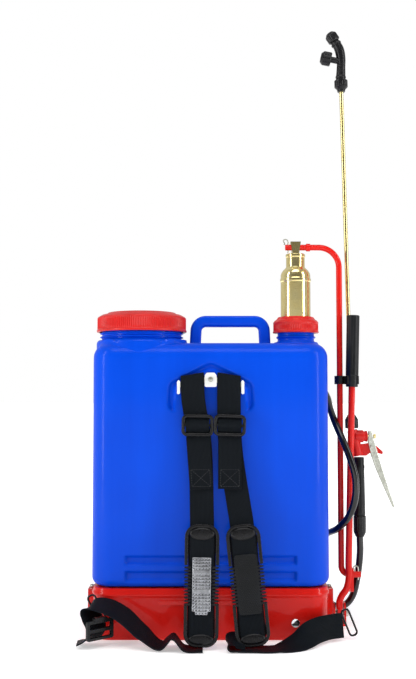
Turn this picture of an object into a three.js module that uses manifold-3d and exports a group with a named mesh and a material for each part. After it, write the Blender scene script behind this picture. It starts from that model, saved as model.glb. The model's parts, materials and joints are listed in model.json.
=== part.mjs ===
// Knapsack sprayer with a brass pressure chamber worked by a hand lever at its right side.
// Millimetres, +Z up, origin at the middle of the base's underside, harness side towards -Y,
// pump lever and lance at +X.
import * as THREE from "three";
import { mergeVertices } from "three/addons/utils/BufferGeometryUtils.js";
import Module from "manifold-3d";

const wasm = await Module();
wasm.setup();

// ---- driving dimensions -------------------------------------------------------------------

const GAP = 0.4; // running gap between touching pieces

const TANK = { halfX: 190, halfY: 85, low: 81, high: 467, corner: 36, top: 24, foot: 13, wall: 6 };
const BOSS = { x: -115, y: -8, radius: 75, top: 474 };
const NECK = { radius: 66, bore: 61, top: 505 };
const CAP = { radius: 75, low: 487, high: 520, bevel: 9 };

const BASE = { halfX: 187, halfY: 84, high: 80, corner: 30, wall: 2.5, shelf: 14 };
const PUMP = { x: 143.5, neck: 30.5, bore: 28.3, neckTop: 505 };
const CYLINDER = { radius: 27.6, bore: 26.3, low: 150 };
const CHAMBER = { radius: 25, low: 300, shoulder: 585, neckRadius: 15.7, high: 620.5 };
const YOKE_PIN = 632; // height of the rod's pin through the yoke

const PIVOT = { y: 0, z: 24 }; // lever pivot, turning about X
const LOWER_PIN = 86; // height of the rod's lower end, parked
const ROD = { radius: 5, x: 217, bend: 34 };
const LEVER = { radius: 5.5, y: -12, top: 512 };
const SLOT_TRAVEL = 11; // how far the rod's end works along the lever's slot
const SLOT_HALF = ROD.radius + 2.5; // the rod's end also works a little across it

const LANCE_Y = 14;
const LANCE = { radius: 3.5, low: [238.3, 344], high: [224.8, 934] };
const HANDLE = { x: 250.5, radius: 10.2, low: 181, high: 278.4 };
const TRIGGER_PIVOT = [271, 296];
const PLUNGER_Z = 313.5;

const WEB = { half: 19, thick: 1.1 }; // 38 mm webbing
const PAD = { half: 26, thick: 10 };
const FRONT = -TANK.halfY; // plane of the tank's harness face

const HOSE_RADIUS = 5.75;

// ---- materials ----------------------------------------------------------------------------

function material(color, roughness, metalness = 0) {
  return new THREE.MeshStandardMaterial({ color, roughness, metalness });
}

const BLUE = material(0x1a4fa3, 0.42);
const RED = material(0xb3161b, 0.3);
const RED_STEEL = material(0xa81216, 0.25, 0.1);
const BRASS = material(0xc9962f, 0.28, 1);
const ZINC = material(0xb9bcb6, 0.35, 1);
const CHROME = material(0xd5d8dc, 0.12, 1);
const BLACK = material(0x161617, 0.45);
const RUBBER = material(0x1b1b1c, 0.7);
const HOSE = material(0x121213, 0.25);
const WEBBING = material(0x1c1c1e, 0.9);
const PADDING = material(0x2a2a2d, 0.85);
const GREY = material(0xcfcfca, 0.5);
const LEATHER = material(0x6b4a2c, 0.8);
const PALE = material(0xe3e2dc, 0.45);

// ---- geometry helpers ---------------------------------------------------------------------

const sprayer = new THREE.Group();
sprayer.name = "knapsack_sprayer";

function add(name, geometry, finish, parent = sprayer) {
  const mesh = new THREE.Mesh(geometry, finish);
  mesh.name = name;
  parent.add(mesh);
  return mesh;
}

function signedVolume(geometry) {
  const p = geometry.getAttribute("position");
  const index = geometry.getIndex();
  const a = new THREE.Vector3();
  const b = new THREE.Vector3();
  const c = new THREE.Vector3();
  let total = 0;
  for (let i = 0; i < index.count; i += 3) {
    a.fromBufferAttribute(p, index.getX(i));
    b.fromBufferAttribute(p, index.getX(i + 1));
    c.fromBufferAttribute(p, index.getX(i + 2));
    total += a.dot(b.cross(c)) / 6;
  }
  return total;
}

// Welds a geometry's vertices, drops flat triangles and turns its faces outwards.
function welded(geometry) {
  const bare = geometry.clone();
  for (const name of ["normal", "uv"]) {
    if (bare.getAttribute(name)) bare.deleteAttribute(name);
  }
  const merged = mergeVertices(bare, 1e-3);
  const index = merged.getIndex().array;
  const kept = [];
  for (let i = 0; i < index.length; i += 3) {
    const [a, b, c] = [index[i], index[i + 1], index[i + 2]];
    if (a !== b && b !== c && c !== a) kept.push(a, b, c);
  }
  merged.setIndex(kept);
  if (signedVolume(merged) < 0) merged.setIndex(kept.reverse());
  merged.computeVertexNormals();
  return merged;
}

function solid(geometry) {
  const mesh = welded(geometry);
  return new wasm.Manifold(new wasm.Mesh({
    numProp: 3,
    vertProperties: new Float32Array(mesh.getAttribute("position").array),
    triVerts: new Uint32Array(mesh.getIndex().array),
  }));
}

function shell(manifold) {
  const mesh = manifold.getMesh();
  const geometry = new THREE.BufferGeometry();
  geometry.setAttribute("position", new THREE.BufferAttribute(mesh.vertProperties, 3));
  geometry.setIndex(Array.from(mesh.triVerts));
  return welded(geometry);
}

function unite(first, ...others) {
  return shell(others.reduce((sum, other) => sum.add(solid(other)), solid(first)));
}

function cut(first, ...others) {
  return shell(others.reduce((rest, other) => rest.subtract(solid(other)), solid(first)));
}

// Skins a row of rings, each a convex loop of the same number of points, and closes both ends.
function loft(rings) {
  const count = rings[0].length;
  const positions = rings.flat().flatMap((point) => [point.x, point.y, point.z]);
  const triangles = [];
  for (let i = 0; i + 1 < rings.length; i += 1) {
    for (let j = 0; j < count; j += 1) {
      const a = i * count + j;
      const b = i * count + ((j + 1) % count);
      triangles.push(a, b, b + count, a, b + count, a + count);
    }
  }
  const last = (rings.length - 1) * count;
  for (let j = 1; j + 1 < count; j += 1) {
    triangles.push(0, j + 1, j, last, last + j, last + j + 1);
  }
  const geometry = new THREE.BufferGeometry();
  geometry.setAttribute("position", new THREE.Float32BufferAttribute(positions, 3));
  geometry.setIndex(triangles);
  return welded(geometry);
}

// A rounded rectangle in plan at height z.
function roundedRing(halfX, halfY, corner, z, steps = 4) {
  const ring = [];
  const centres = [[1, 1, 0], [-1, 1, 90], [-1, -1, 180], [1, -1, 270]];
  for (const [sx, sy, start] of centres) {
    for (let i = 0; i <= steps; i += 1) {
      const angle = THREE.MathUtils.degToRad(start + (90 * i) / steps);
      const x = sx * (halfX - corner) + corner * Math.cos(angle);
      const y = sy * (halfY - corner) + corner * Math.sin(angle);
      ring.push(new THREE.Vector3(x, y, z));
    }
  }
  return ring;
}

// A block with rounded vertical corners, drawn in by a quarter circle at foot and top.
function roundedBlock(halfX, halfY, corner, low, high, foot, top, steps = 4) {
  const rings = [];
  const ring = (inset, z) => {
    rings.push(roundedRing(halfX - inset, halfY - inset, Math.max(corner - inset, 2), z, steps));
  };
  for (let i = 0; i <= steps; i += 1) {
    const angle = (Math.PI / 2) * (i / steps);
    ring(foot * (1 - Math.sin(angle)), low + foot * (1 - Math.cos(angle)));
  }
  for (let i = 0; i <= steps; i += 1) {
    const angle = (Math.PI / 2) * (i / steps);
    ring(top * (1 - Math.cos(angle)), high - top + top * Math.sin(angle));
  }
  return loft(rings);
}

// A turned piece about Z through (x, y), from [radius, height] points.
function turned(profile, x = 0, y = 0, sides = 24) {
  const geometry = new THREE.LatheGeometry(profile.map(([r, z]) => new THREE.Vector2(r, z)), sides);
  geometry.rotateX(Math.PI / 2);
  geometry.translate(x, y, 0);
  return welded(geometry);
}

function ringProfile(inner, outer, low, high) {
  return [[inner, low], [outer, low], [outer, high], [inner, high], [inner, low]];
}

function discProfile(radius, low, high) {
  return [[0, low], [radius, low], [radius, high], [0, high]];
}

function box(lowX, lowY, lowZ, highX, highY, highZ) {
  const geometry = new THREE.BoxGeometry(highX - lowX, highY - lowY, highZ - lowZ);
  geometry.translate((lowX + highX) / 2, (lowY + highY) / 2, (lowZ + highZ) / 2);
  return welded(geometry);
}

// Replaces each corner of a broken line by an arc of the given radius.
function bentPath(points, radius, steps = 5) {
  const corners = points.map((point) => new THREE.Vector3(...point));
  const path = [corners[0]];
  for (let i = 1; i + 1 < corners.length; i += 1) {
    const before = corners[i].clone().sub(corners[i - 1]).normalize();
    const after = corners[i + 1].clone().sub(corners[i]).normalize();
    const turn = before.angleTo(after);
    const start = corners[i].clone().addScaledVector(before, -radius * Math.tan(turn / 2));
    const inward = after.clone().addScaledVector(before, -after.dot(before)).normalize();
    for (let k = 0; k <= steps; k += 1) {
      const angle = (turn * k) / steps;
      const point = start.clone().addScaledVector(before, radius * Math.sin(angle));
      path.push(point.addScaledVector(inward, radius * (1 - Math.cos(angle))));
    }
  }
  path.push(corners[corners.length - 1]);
  return path;
}

// Carries a flat outline of [a, b] points along a path without twisting it.
function swept(path, outline) {
  const tangents = path.map((point, i) => {
    const next = path[Math.min(i + 1, path.length - 1)];
    return next.clone().sub(path[Math.max(i - 1, 0)]).normalize();
  });
  const side = Math.abs(tangents[0].z) < 0.9 ? new THREE.Vector3(0, 0, 1) : new THREE.Vector3(1, 0, 0);
  const rings = [];
  path.forEach((point, i) => {
    side.addScaledVector(tangents[i], -side.dot(tangents[i])).normalize();
    const across = tangents[i].clone().cross(side);
    rings.push(outline.map(([a, b]) => {
      return point.clone().addScaledVector(side, a).addScaledVector(across, b);
    }));
  });
  return loft(rings);
}

function circle(radius, sides) {
  return Array.from({ length: sides }, (_, i) => {
    const angle = (2 * Math.PI * i) / sides;
    return [radius * Math.cos(angle), radius * Math.sin(angle)];
  });
}

function tube(points, radius, sides = 12, bend = 0) {
  const path = bend > 0 ? bentPath(points, bend) : points.map((point) => new THREE.Vector3(...point));
  return swept(path, circle(radius, sides));
}

// A flat outline of [y, z] points made into a plate between two heights of X.
function plateAlongX(outline, lowX, highX, holes = []) {
  const shape = new THREE.Shape(outline.map(([y, z]) => new THREE.Vector2(y, z)));
  for (const [y, z, radius] of holes) {
    const hole = new THREE.Path();
    hole.absarc(y, z, radius, 0, 2 * Math.PI, true);
    shape.holes.push(hole);
  }
  const geometry = new THREE.ExtrudeGeometry(shape, {
    depth: highX - lowX, bevelEnabled: false, curveSegments: 8,
  });
  geometry.applyMatrix4(new THREE.Matrix4().makeBasis(
    new THREE.Vector3(0, 1, 0), new THREE.Vector3(0, 0, 1), new THREE.Vector3(1, 0, 0),
  ));
  geometry.translate(lowX, 0, 0);
  return welded(geometry);
}

// The same for an outline of [x, z] points, between two values of Y.
function plateAlongY(outline, lowY, highY) {
  const shape = new THREE.Shape(outline.map(([x, z]) => new THREE.Vector2(x, z)));
  const geometry = new THREE.ExtrudeGeometry(shape, {
    depth: highY - lowY, bevelEnabled: false, curveSegments: 6,
  });
  geometry.rotateX(Math.PI / 2);
  geometry.translate(0, highY, 0);
  return welded(geometry);
}

// A strap: stations of { at, across }, the webbing's width lying along across.
function ribbon(stations, half = WEB.half, steps = 1) {
  const thick = WEB.thick;
  const last = (stations.length - 1) * steps;
  const curve = new THREE.CatmullRomCurve3(
    stations.map((station) => new THREE.Vector3(...station.at)), false, "centripetal",
  );
  const centres = Array.from({ length: last + 1 }, (_, i) => curve.getPoint(i / last));
  const rings = centres.map((centre, i) => {
    const along = centres[Math.min(i + 1, last)].clone().sub(centres[Math.max(i - 1, 0)]).normalize();
    const share = (i % steps) / steps;
    const station = Math.floor(i / steps);
    const across = new THREE.Vector3(...stations[station].across);
    if (share > 0) across.lerp(new THREE.Vector3(...stations[station + 1].across), share);
    across.addScaledVector(along, -across.dot(along)).normalize();
    const up = along.clone().cross(across).normalize();
    const corners = [[-1, -1], [1, -1], [1, 1], [-1, 1]];
    return corners.map(([a, b]) => {
      return centres[i].clone().addScaledVector(across, a * half).addScaledVector(up, b * thick);
    });
  });
  return loft(rings);
}

// ---- tank, filler and its cap -------------------------------------------------------------

function tankShell() {
  const { halfX, halfY, low, high, corner, top, foot, wall } = TANK;
  const outside = roundedBlock(halfX, halfY, corner, low, high, foot, top);
  const boss = turned(discProfile(BOSS.radius, 400, BOSS.top), BOSS.x, BOSS.y, 32);
  const neck = turned(discProfile(NECK.radius, 460, NECK.top), BOSS.x, BOSS.y, 32);
  const thread = turned(discProfile(NECK.radius + 4, 478, 484), BOSS.x, BOSS.y, 32);
  const pumpNeck = turned(discProfile(PUMP.neck, 460, PUMP.neckTop), PUMP.x, 0, 24);
  const pumpRoot = turned(discProfile(PUMP.neck + 6, 460, 471), PUMP.x, 0, 24);
  const inside = roundedBlock(
    halfX - wall, halfY - wall, corner - wall, low + wall, high - wall, foot, top - wall,
  );
  const mouth = turned(discProfile(NECK.bore, 440, 520), BOSS.x, BOSS.y, 32);
  const pumpBore = turned(discProfile(PUMP.bore, 440, 520), PUMP.x, 0, 24);
  const outlet = tube([[PUMP.x, 70, 165], [PUMP.x, 95, 165]], 8, 12);
  const grooves = [[107, 91], [131, 117]].map(([upper, lower]) => {
    return box(-135, FRONT - 5, lower, 135, FRONT + 3.2, upper);
  });
  return cut(
    unite(outside, boss, neck, thread, pumpNeck, pumpRoot),
    inside, mouth, pumpBore, outlet, panelGroove(), ...grooves,
  );
}

// The house-shaped groove pressed round the strap hanger.
function panelGroove() {
  const outer = [[-68, 358], [68, 358], [66, 402], [0, 436], [-66, 402]];
  const inner = [[-58, 350], [58, 350], [56.5, 396], [0, 424.5], [-56.5, 396]];
  const block = plateAlongY(outer, FRONT - 5, FRONT + 3.2);
  return cut(block, plateAlongY(inner, FRONT - 6, FRONT + 6));
}

add("tank", tankShell(), BLUE);

function carryHandle() {
  const arch = new THREE.Shape();
  const [left, right, low, high, round] = [-34, 100, 467 + GAP, 516, 23];
  arch.moveTo(left - 5, low);
  arch.lineTo(left, low + 14);
  arch.lineTo(left, high - round);
  arch.absarc(left + round, high - round, round, Math.PI, Math.PI / 2, true);
  arch.absarc(right - round, high - round, round, Math.PI / 2, 0, true);
  arch.lineTo(right, low + 14);
  arch.lineTo(right + 5, low);
  arch.lineTo(right - 19, low);
  arch.lineTo(right - 19, high - 27);
  arch.absarc(right - 27, high - 27, 8, 0, Math.PI / 2, false);
  arch.absarc(left + 27, high - 27, 8, Math.PI / 2, Math.PI, false);
  arch.lineTo(left + 19, low);
  arch.closePath();
  const geometry = new THREE.ExtrudeGeometry(arch, {
    depth: 20, bevelEnabled: true, bevelSize: 0, bevelThickness: 0, bevelSegments: 1, curveSegments: 5,
  });
  geometry.rotateX(Math.PI / 2);
  geometry.translate(0, 12, 0);
  return welded(geometry);
}

add("carry_handle", carryHandle(), BLUE);
function fillerCap() {
  const { radius, low, high, bevel } = CAP;
  return turned([
    [0, high - 4], [NECK.radius - 2, high - 4], [NECK.radius + 3, high - 9], [NECK.radius + 5, low],
    [radius, low], [radius, high - bevel], [radius - 5, high - bevel + 4], [radius - 17, high - 2],
    [radius - 19, high], [12, high], [9, high - 1.5], [0, high - 1.5],
  ], BOSS.x, BOSS.y, 36);
}

add("filler_cap", fillerCap(), RED);
add("cap_gasket", turned(ringProfile(NECK.bore, NECK.radius, NECK.top + GAP, NECK.top + 3.4),
  BOSS.x, BOSS.y, 32), RUBBER);
add("cap_vent", turned([
  [0, CAP.high - 1], [7, CAP.high - 1], [7, CAP.high + 1.5], [4, CAP.high + 3], [0, CAP.high + 3],
], BOSS.x, BOSS.y, 16), GREY);

// The strainer hangs in the filler mouth by its lip.
function strainerBasket() {
  const lip = NECK.top - 6;
  const basket = turned([
    [0, 392], [50, 392], [56, lip - 3], [59.5, lip - 3], [59.5, lip], [54, lip], [48, 394], [0, 394],
  ], BOSS.x, BOSS.y, 24);
  const windows = [0, 60, 120, 180, 240, 300].map((degrees) => {
    const window = box(30, -9, 408, 70, 9, 470);
    window.rotateZ(THREE.MathUtils.degToRad(degrees));
    window.translate(BOSS.x, BOSS.y, 0);
    return window;
  });
  return cut(basket, ...windows);
}

add("strainer_basket", strainerBasket(), PALE);
// ---- base ---------------------------------------------------------------------------------

function baseSkirt() {
  const { halfX, halfY, corner, high, wall, shelf } = BASE;
  const rings = (inset, levels) => loft(levels.map(([out, z]) => {
    return roundedRing(halfX - inset + out, halfY - inset + out, corner - inset + out, z);
  }));
  const outside = rings(0, [
    [-4, 0], [-1.2, 1.6], [0, 5], [0, 66], [2, 68.5], [2, 72], [0, 74.5], [0, high],
  ]);
  const inside = rings(wall, [[0, -1], [0, high - wall]]);
  const seat = rings(shelf, [[0, high - wall - 1], [0, high + 1]]);
  const rib = box(-82, -halfY - 1.6, 55, 82, -halfY + 1, 61);
  return cut(unite(outside, rib), inside, seat);
}

add("base_skirt", baseSkirt(), RED_STEEL);
add("base_floor", loft([0, 3].map((z) => {
  const inset = BASE.wall + GAP;
  return roundedRing(BASE.halfX - inset, BASE.halfY - inset, BASE.corner - inset, z);
})), RED_STEEL);

function frontBolt(x, z) {
  const bolt = turned([[0, 0], [6.5, 0], [6.5, 2.5], [5, 4], [0, 4.6]], 0, 0, 16);
  bolt.rotateX(Math.PI / 2);
  bolt.translate(x, -BASE.halfY - GAP, z);
  return bolt;
}

add("base_bolt", frontBolt(133, 27), CHROME);

// End bracket with its tie screw; the screw draws the tank down on the base.
function endBracket(side) {
  const inner = BASE.halfX + 2 + GAP;
  const lug = box(inner, -18, 20, inner + 11.4, 18, 66);
  const slot = box(inner + 3, -5, 10, inner + 8.5, 5, 80);
  const bracket = cut(lug, slot);
  if (side < 0) bracket.rotateZ(Math.PI);
  return bracket;
}

for (const [name, side] of [["left", -1], ["right", 1]]) {
  const x = side * (BASE.halfX + 8);
  add(`end_bracket_${name}`, endBracket(side), RED_STEEL);
  add(`tie_screw_${name}`, turned([
    [0, 12], [2.2, 12], [2.2, 66 + GAP], [5, 66 + GAP], [5, 70], [0, 70],
  ], x, 0, 12), ZINC);
}

// ---- lever, its bracket and the pump rod --------------------------------------------------

function leverBracket() {
  const low = 5;
  const outline = [[-16, low], [16, low], [16, 34], [7, 41], [-7, 41], [-16, 34]];
  const wide = plateAlongX(outline, 201.4, 222.4);
  const room = box(204.6, -20, low + 3, 219.4, 20, 50);
  const bore = tube([[190, 0, PIVOT.z], [230, 0, PIVOT.z]], 4.5, 16);
  return cut(wide, room, bore);
}

add("lever_bracket", leverBracket(), RED_STEEL);

function pivotBolt() {
  const bolt = turned([[0, -27], [4.1, -27], [4.1, 0], [7, 0], [7, 5], [0, 5]], 0, 0, 16);
  bolt.rotateY(Math.PI / 2);
  bolt.translate(222.4 + GAP, 0, PIVOT.z);
  return bolt;
}

add("pivot_bolt", cut(pivotBolt(), box(190, -20, 0, 202, 20, 60)), ZINC);

// A point on the straight part of the lever, which leans a little outwards.
function leverAt(z) {
  const share = (z - 110) / (LEVER.top - 110);
  return [227.6 + share * 10.8, LEVER.y, z];
}

const leverPath = [
  [212, LEVER.y, 33], [212, LEVER.y, 44], [216, LEVER.y, 54], [223, LEVER.y, 64], [227, LEVER.y, 78],
  leverAt(110), leverAt(LEVER.top),
];

function leverTube() {
  const stem = tube(leverPath, LEVER.radius, 14);
  const eye = plateAlongX([
    [-18, 38], [-9, 14], [-5, 11.5], [5, 11.5], [11, 17], [13, 24], [11, 31], [4, 37], [-6, 47], [-18, 47],
  ], 208.6, 215.4);
  const bore = tube([[200, 0, PIVOT.z], [230, 0, PIVOT.z]], 4.45, 16);
  const plate = plateAlongX([
    [-14, 60], [6, 57], [11, 62], [11, 92], [6, 97], [-14, 97],
  ], 229.5, 235.5);
  const slotLow = LOWER_PIN - SLOT_TRAVEL;
  const slot = unite(
    box(220, -SLOT_HALF, slotLow, 245, SLOT_HALF, LOWER_PIN),
    tube([[220, 0, slotLow], [245, 0, slotLow]], SLOT_HALF, 16),
    tube([[220, 0, LOWER_PIN], [245, 0, LOWER_PIN]], SLOT_HALF, 16),
  );
  return cut(unite(stem, eye, plate), bore, slot);
}

add("lever_tube", leverTube(), RED);

function leverGrip() {
  const outer = tube([leverAt(417), leverAt(LEVER.top + 4)], 11, 20);
  const inner = tube([leverAt(405), leverAt(LEVER.top + GAP)], LEVER.radius + 0.3, 14);
  return cut(outer, inner);
}

add("lever_grip", leverGrip(), RUBBER);

function connectingRod() {
  const rod = tube([
    [127, 0, YOKE_PIN], [ROD.x, 0, YOKE_PIN], [ROD.x, 0, LOWER_PIN], [249, 0, LOWER_PIN],
  ], ROD.radius, 14, ROD.bend - 20);
  const top = tube([
    [127, 0, YOKE_PIN], [ROD.x, 0, YOKE_PIN], [ROD.x, 0, 300],
  ], ROD.radius, 14, ROD.bend);
  const keep = box(0, -20, 0, 300, 20, 400);
  const lower = shell(solid(rod).intersect(solid(keep)));
  const upper = shell(solid(top).intersect(solid(box(0, -20, 400, 300, 20, 700))));
  const swell = tube([[161, 0, YOKE_PIN], [169, 0, YOKE_PIN]], ROD.radius + 1.6, 14);
  const upperHole = tube([[131, 0, YOKE_PIN - 9], [131, 0, YOKE_PIN + 9]], 1.5, 8);
  const lowerHole = tube([[245, 0, LOWER_PIN - 9], [245, 0, LOWER_PIN + 9]], 1.5, 8);
  return cut(unite(upper, lower, swell), upperHole, lowerHole);
}

add("connecting_rod", connectingRod(), RED);

// R-clips through the rod's two ends.
function clipPin(x, z) {
  return tube([
    [x, 0, z - 9], [x, 0, z + 9], [x - 2, 0, z + 13], [x - 6, 0, z + 13.5], [x - 7.5, 0, z + 10.5],
    [x - 5, 0, z + 8],
  ], 1.1, 6);
}

add("upper_clip_pin", clipPin(131, YOKE_PIN), ZINC);
add("lower_clip_pin", clipPin(245, LOWER_PIN), ZINC);

// Park clip on the rod: one jaw takes the lever from the front, the other the lance from behind.
function parkClip() {
  const low = 401;
  const high = 415;
  const middle = (low + high) / 2;
  const rodBore = tube([[ROD.x, 0, low - 5], [ROD.x, 0, high + 5]], ROD.radius + 0.3, 16);
  const lever = leverAt(middle);
  const lance = lanceAt(middle);
  const half = LEVER.radius + 0.6;
  const leverJaw = unite(
    tube([[lever[0] - 0.3, LEVER.y, low - 5], [lever[0] + 0.3, LEVER.y, high + 5]], half, 16),
    box(lever[0] - half, -40, low - 5, lever[0] + half, LEVER.y, high + 5),
  );
  const slim = LANCE.radius + 0.6;
  const lanceJaw = unite(
    tube([[lance[0], LANCE_Y, low - 5], [lance[0], LANCE_Y, high + 5]], slim, 14),
    box(lance[0] - slim, LANCE_Y, low - 5, lance[0] + slim, 40, high + 5),
  );
  const body = unite(
    turned(discProfile(9, low, high), ROD.x, 0, 20),
    box(ROD.x, -5, low, 244, 9, high),
    box(226.5, -20, low, 246, 0, high),
    box(229, 0, low, 243.5, 19, high),
  );
  return cut(body, rodBore, leverJaw, lanceJaw);
}

function lanceAt(z) {
  const share = (z - LANCE.low[1]) / (LANCE.high[1] - LANCE.low[1]);
  return [LANCE.low[0] + share * (LANCE.high[0] - LANCE.low[0]), LANCE_Y, z];
}

add("park_clip", parkClip(), BLACK);

// ---- pump ---------------------------------------------------------------------------------

add("pump_cylinder", turned([
  [9, CYLINDER.low], [CYLINDER.radius, CYLINDER.low], [CYLINDER.radius, PUMP.neckTop + GAP],
  [PUMP.neck - 0.5, PUMP.neckTop + GAP], [PUMP.neck - 0.5, PUMP.neckTop + 1.8],
  [CYLINDER.bore, PUMP.neckTop + 1.8], [CYLINDER.bore, CYLINDER.low + 3], [9, CYLINDER.low + 3],
  [9, CYLINDER.low],
], PUMP.x, 0, 24), BRASS);

add("gland_packing", turned(ringProfile(CHAMBER.radius + 0.3, 30, 507.2, 509.6), PUMP.x, 0, 24), RUBBER);

add("pump_collar", turned([
  [31.2, 486.5], [38.5, 486.5], [38.5, 504], [36, 507], [29.5, 514], [25.8, 514], [25.8, 510],
  [31.2, 510], [31.2, 486.5],
], PUMP.x, 0, 32), RED);

add("pressure_chamber", turned([
  [23.4, CHAMBER.low], [CHAMBER.radius, CHAMBER.low], [CHAMBER.radius, 573], [26, 574.5], [26, 577.5],
  [CHAMBER.radius, 579], [CHAMBER.radius, CHAMBER.shoulder], [22.5, 592], [CHAMBER.neckRadius, 598],
  [CHAMBER.neckRadius, CHAMBER.high], [0, CHAMBER.high], [0, 617], [12.5, 617], [12.5, 596],
  [20, 590], [23.4, 583], [23.4, CHAMBER.low],
], PUMP.x, 0, 28), BRASS);

function yoke() {
  const foot = CHAMBER.high + GAP;
  const body = plateAlongY([
    [PUMP.x - 5.5, foot], [PUMP.x + 5.5, foot], [PUMP.x + 8.7, YOKE_PIN + 9], [PUMP.x - 8.7, YOKE_PIN + 9],
  ], -9, 9);
  return cut(body, tube([[100, 0, YOKE_PIN], [180, 0, YOKE_PIN]], ROD.radius + 0.2, 16));
}

add("rod_yoke", yoke(), BRASS);
add("piston", turned(ringProfile(8, 25.4, 288, CHAMBER.low - GAP), PUMP.x, 0, 24), BRASS);
add("piston_cup", turned([
  [8, 281], [26, 276], [26, 287.6], [8, 287.6], [8, 281],
], PUMP.x, 0, 24), LEATHER);

add("foot_valve", turned([
  [5, 126], [13, 126], [13, CYLINDER.low - GAP], [8.6, CYLINDER.low - GAP], [8.6, 132], [5, 132], [5, 126],
], PUMP.x, 0, 20), BRASS);

function ball(x, y, z, radius) {
  const geometry = new THREE.SphereGeometry(radius, 14, 10);
  geometry.translate(x, y, z);
  return welded(geometry);
}

add("foot_ball", ball(PUMP.x, 0, 137.2, 7), CHROME);

// Delivery pipe from the cylinder to the outlet elbow behind the tank.
const OUTLET_Z = 165;
add("delivery_pipe", cut(
  tube([[PUMP.x, CYLINDER.radius + GAP, OUTLET_Z], [PUMP.x, 62, OUTLET_Z]], 7, 14),
  tube([[PUMP.x, 0, OUTLET_Z], [PUMP.x, 80, OUTLET_Z]], 4.5, 12),
), BRASS);

function outletElbow() {
  const pipe = tube([
    [PUMP.x, 62 + GAP, OUTLET_Z], [PUMP.x, 108, OUTLET_Z], [PUMP.x, 108, OUTLET_Z + 26],
  ], 7.6, 14, 9);
  const flange = tube([[PUMP.x, 85 + GAP, OUTLET_Z], [PUMP.x, 92, OUTLET_Z]], 13, 6);
  const bore = tube([
    [PUMP.x, 50, OUTLET_Z], [PUMP.x, 108, OUTLET_Z], [PUMP.x, 108, OUTLET_Z + 40],
  ], 4, 12, 9);
  return cut(unite(pipe, flange), bore);
}

add("outlet_elbow", outletElbow(), BRASS);

// ---- hose ---------------------------------------------------------------------------------

const hoseRoute = [
  [PUMP.x, 108, OUTLET_Z + 27], [PUMP.x, 108, 235], [144, 110, 300], [148, 112, 352], [160, 112, 392],
  [182, 100, 404], [198, 75, 392], [201, 42, 370], [202, 12, 350], [209, -12, 330], [222, -27, 306],
  [233, -34, 276], [238, -36, 244], [235, -34, 210], [222, -27, 183], [207, -10, 166], [201, 22, 156],
  [200, 60, 146], [192, 92, 126], [186, 106, 92], [186, 104, 56], [192, 88, 30], [206, 66, 20],
  [222, 46, 27], [236, 30, 51], [246, 18, 88], [HANDLE.x, LANCE_Y, 125], [HANDLE.x, LANCE_Y, 145.6],
];

function hose() {
  const curve = new THREE.CatmullRomCurve3(
    hoseRoute.map((point) => new THREE.Vector3(...point)), false, "centripetal",
  );
  return swept(curve.getSpacedPoints(78), circle(HOSE_RADIUS, 8));
}

add("hose", hose(), HOSE);

// ---- lance, shut-off valve and nozzles ----------------------------------------------------

const lance = new THREE.Group();
sprayer.add(lance);

function onLance(name, geometry, finish) {
  return add(name, geometry, finish, lance);
}

onLance("lance_tube", tube([lanceAt(LANCE.low[1]), lanceAt(914)], LANCE.radius, 10), BRASS);

// Turned pieces on the lance are drawn along Z, then moved to the lance's own line.
function alongLance(profile, z, sides = 18) {
  const piece = turned(profile, 0, 0, sides);
  const lean = Math.atan2(LANCE.low[0] - LANCE.high[0], LANCE.high[1] - LANCE.low[1]);
  piece.rotateY(-lean);
  const [x, y] = lanceAt(z);
  piece.translate(x, y, z);
  return welded(piece);
}

const LANCE_FIT = LANCE.radius + 0.3;

onLance("lance_nut", alongLance([
  [LANCE_FIT, -19], [11.2, -19], [11.2, -4], [6.5, 4], [LANCE_FIT, 4], [LANCE_FIT, -19],
], 346), BLACK);
onLance("tip_nut", alongLance([
  [LANCE_FIT, -8], [6.6, -8], [7, -4], [10.5, 0], [11.4, 0], [11.4, 12.5], [LANCE_FIT, 12.5],
  [LANCE_FIT, -8],
], 912), BLACK);

function tipHead() {
  const stem = tube([
    [224.6, LANCE_Y, 925.4], [225.5, LANCE_Y, 945], [225.8, LANCE_Y, 962], [222, LANCE_Y, 980],
    [215.5, LANCE_Y, 992],
  ], 8.2, 14);
  const branch = tube([[224, LANCE_Y, 958], [208.4, LANCE_Y, 961.2]], 5.2, 12);
  return unite(stem, branch);
}

onLance("tip_head", tipHead(), BLACK);

// A nozzle cap about its own axis, placed with its open end against the head.
function nozzleCap(radius, length, place, direction) {
  const cap = turned([
    [1.2, length], [1.2, length - 4], [radius - 3, 4], [radius - 3, 0], [radius - 1, 0],
    [radius, 2], [radius - 0.6, length - 3], [radius - 3, length], [1.2, length],
  ], 0, 0, 20);
  const turn = new THREE.Quaternion().setFromUnitVectors(
    new THREE.Vector3(0, 0, 1), new THREE.Vector3(...direction).normalize(),
  );
  cap.applyQuaternion(turn);
  cap.translate(...place);
  return welded(cap);
}

onLance("nozzle_cap_top", nozzleCap(10.4, 17, [214.9, LANCE_Y, 993.3], [-0.56, 0, 0.83]), BLACK);
onLance("nozzle_cap_side", nozzleCap(12, 18, [208, LANCE_Y, 961.3], [-0.98, 0, 0.2]), BLACK);

function valveBody() {
  const barrel = tube([[239.3, LANCE_Y, 324], [249, LANCE_Y, 281]], 8.8, 16);
  const housing = tube([[242, LANCE_Y, PLUNGER_Z], [264, LANCE_Y, PLUNGER_Z]], 10.4, 18);
  const arm = plateAlongY([
    [246, 281], [262, 281], [272, 288], [290, 283], [290, 288], [281, 296], [275, 301], [266, 302],
    [252, 300],
  ], LANCE_Y - 3.4, LANCE_Y + 3.4);
  const bore = tube([[246, LANCE_Y, PLUNGER_Z], [270, LANCE_Y, PLUNGER_Z]], 2.5, 12);
  const pivot = tube([[271, 0, 296], [271, 30, 296]], 1.7, 10);
  return cut(unite(barrel, housing, arm), bore, pivot);
}

onLance("valve_body", valveBody(), RED);

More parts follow.
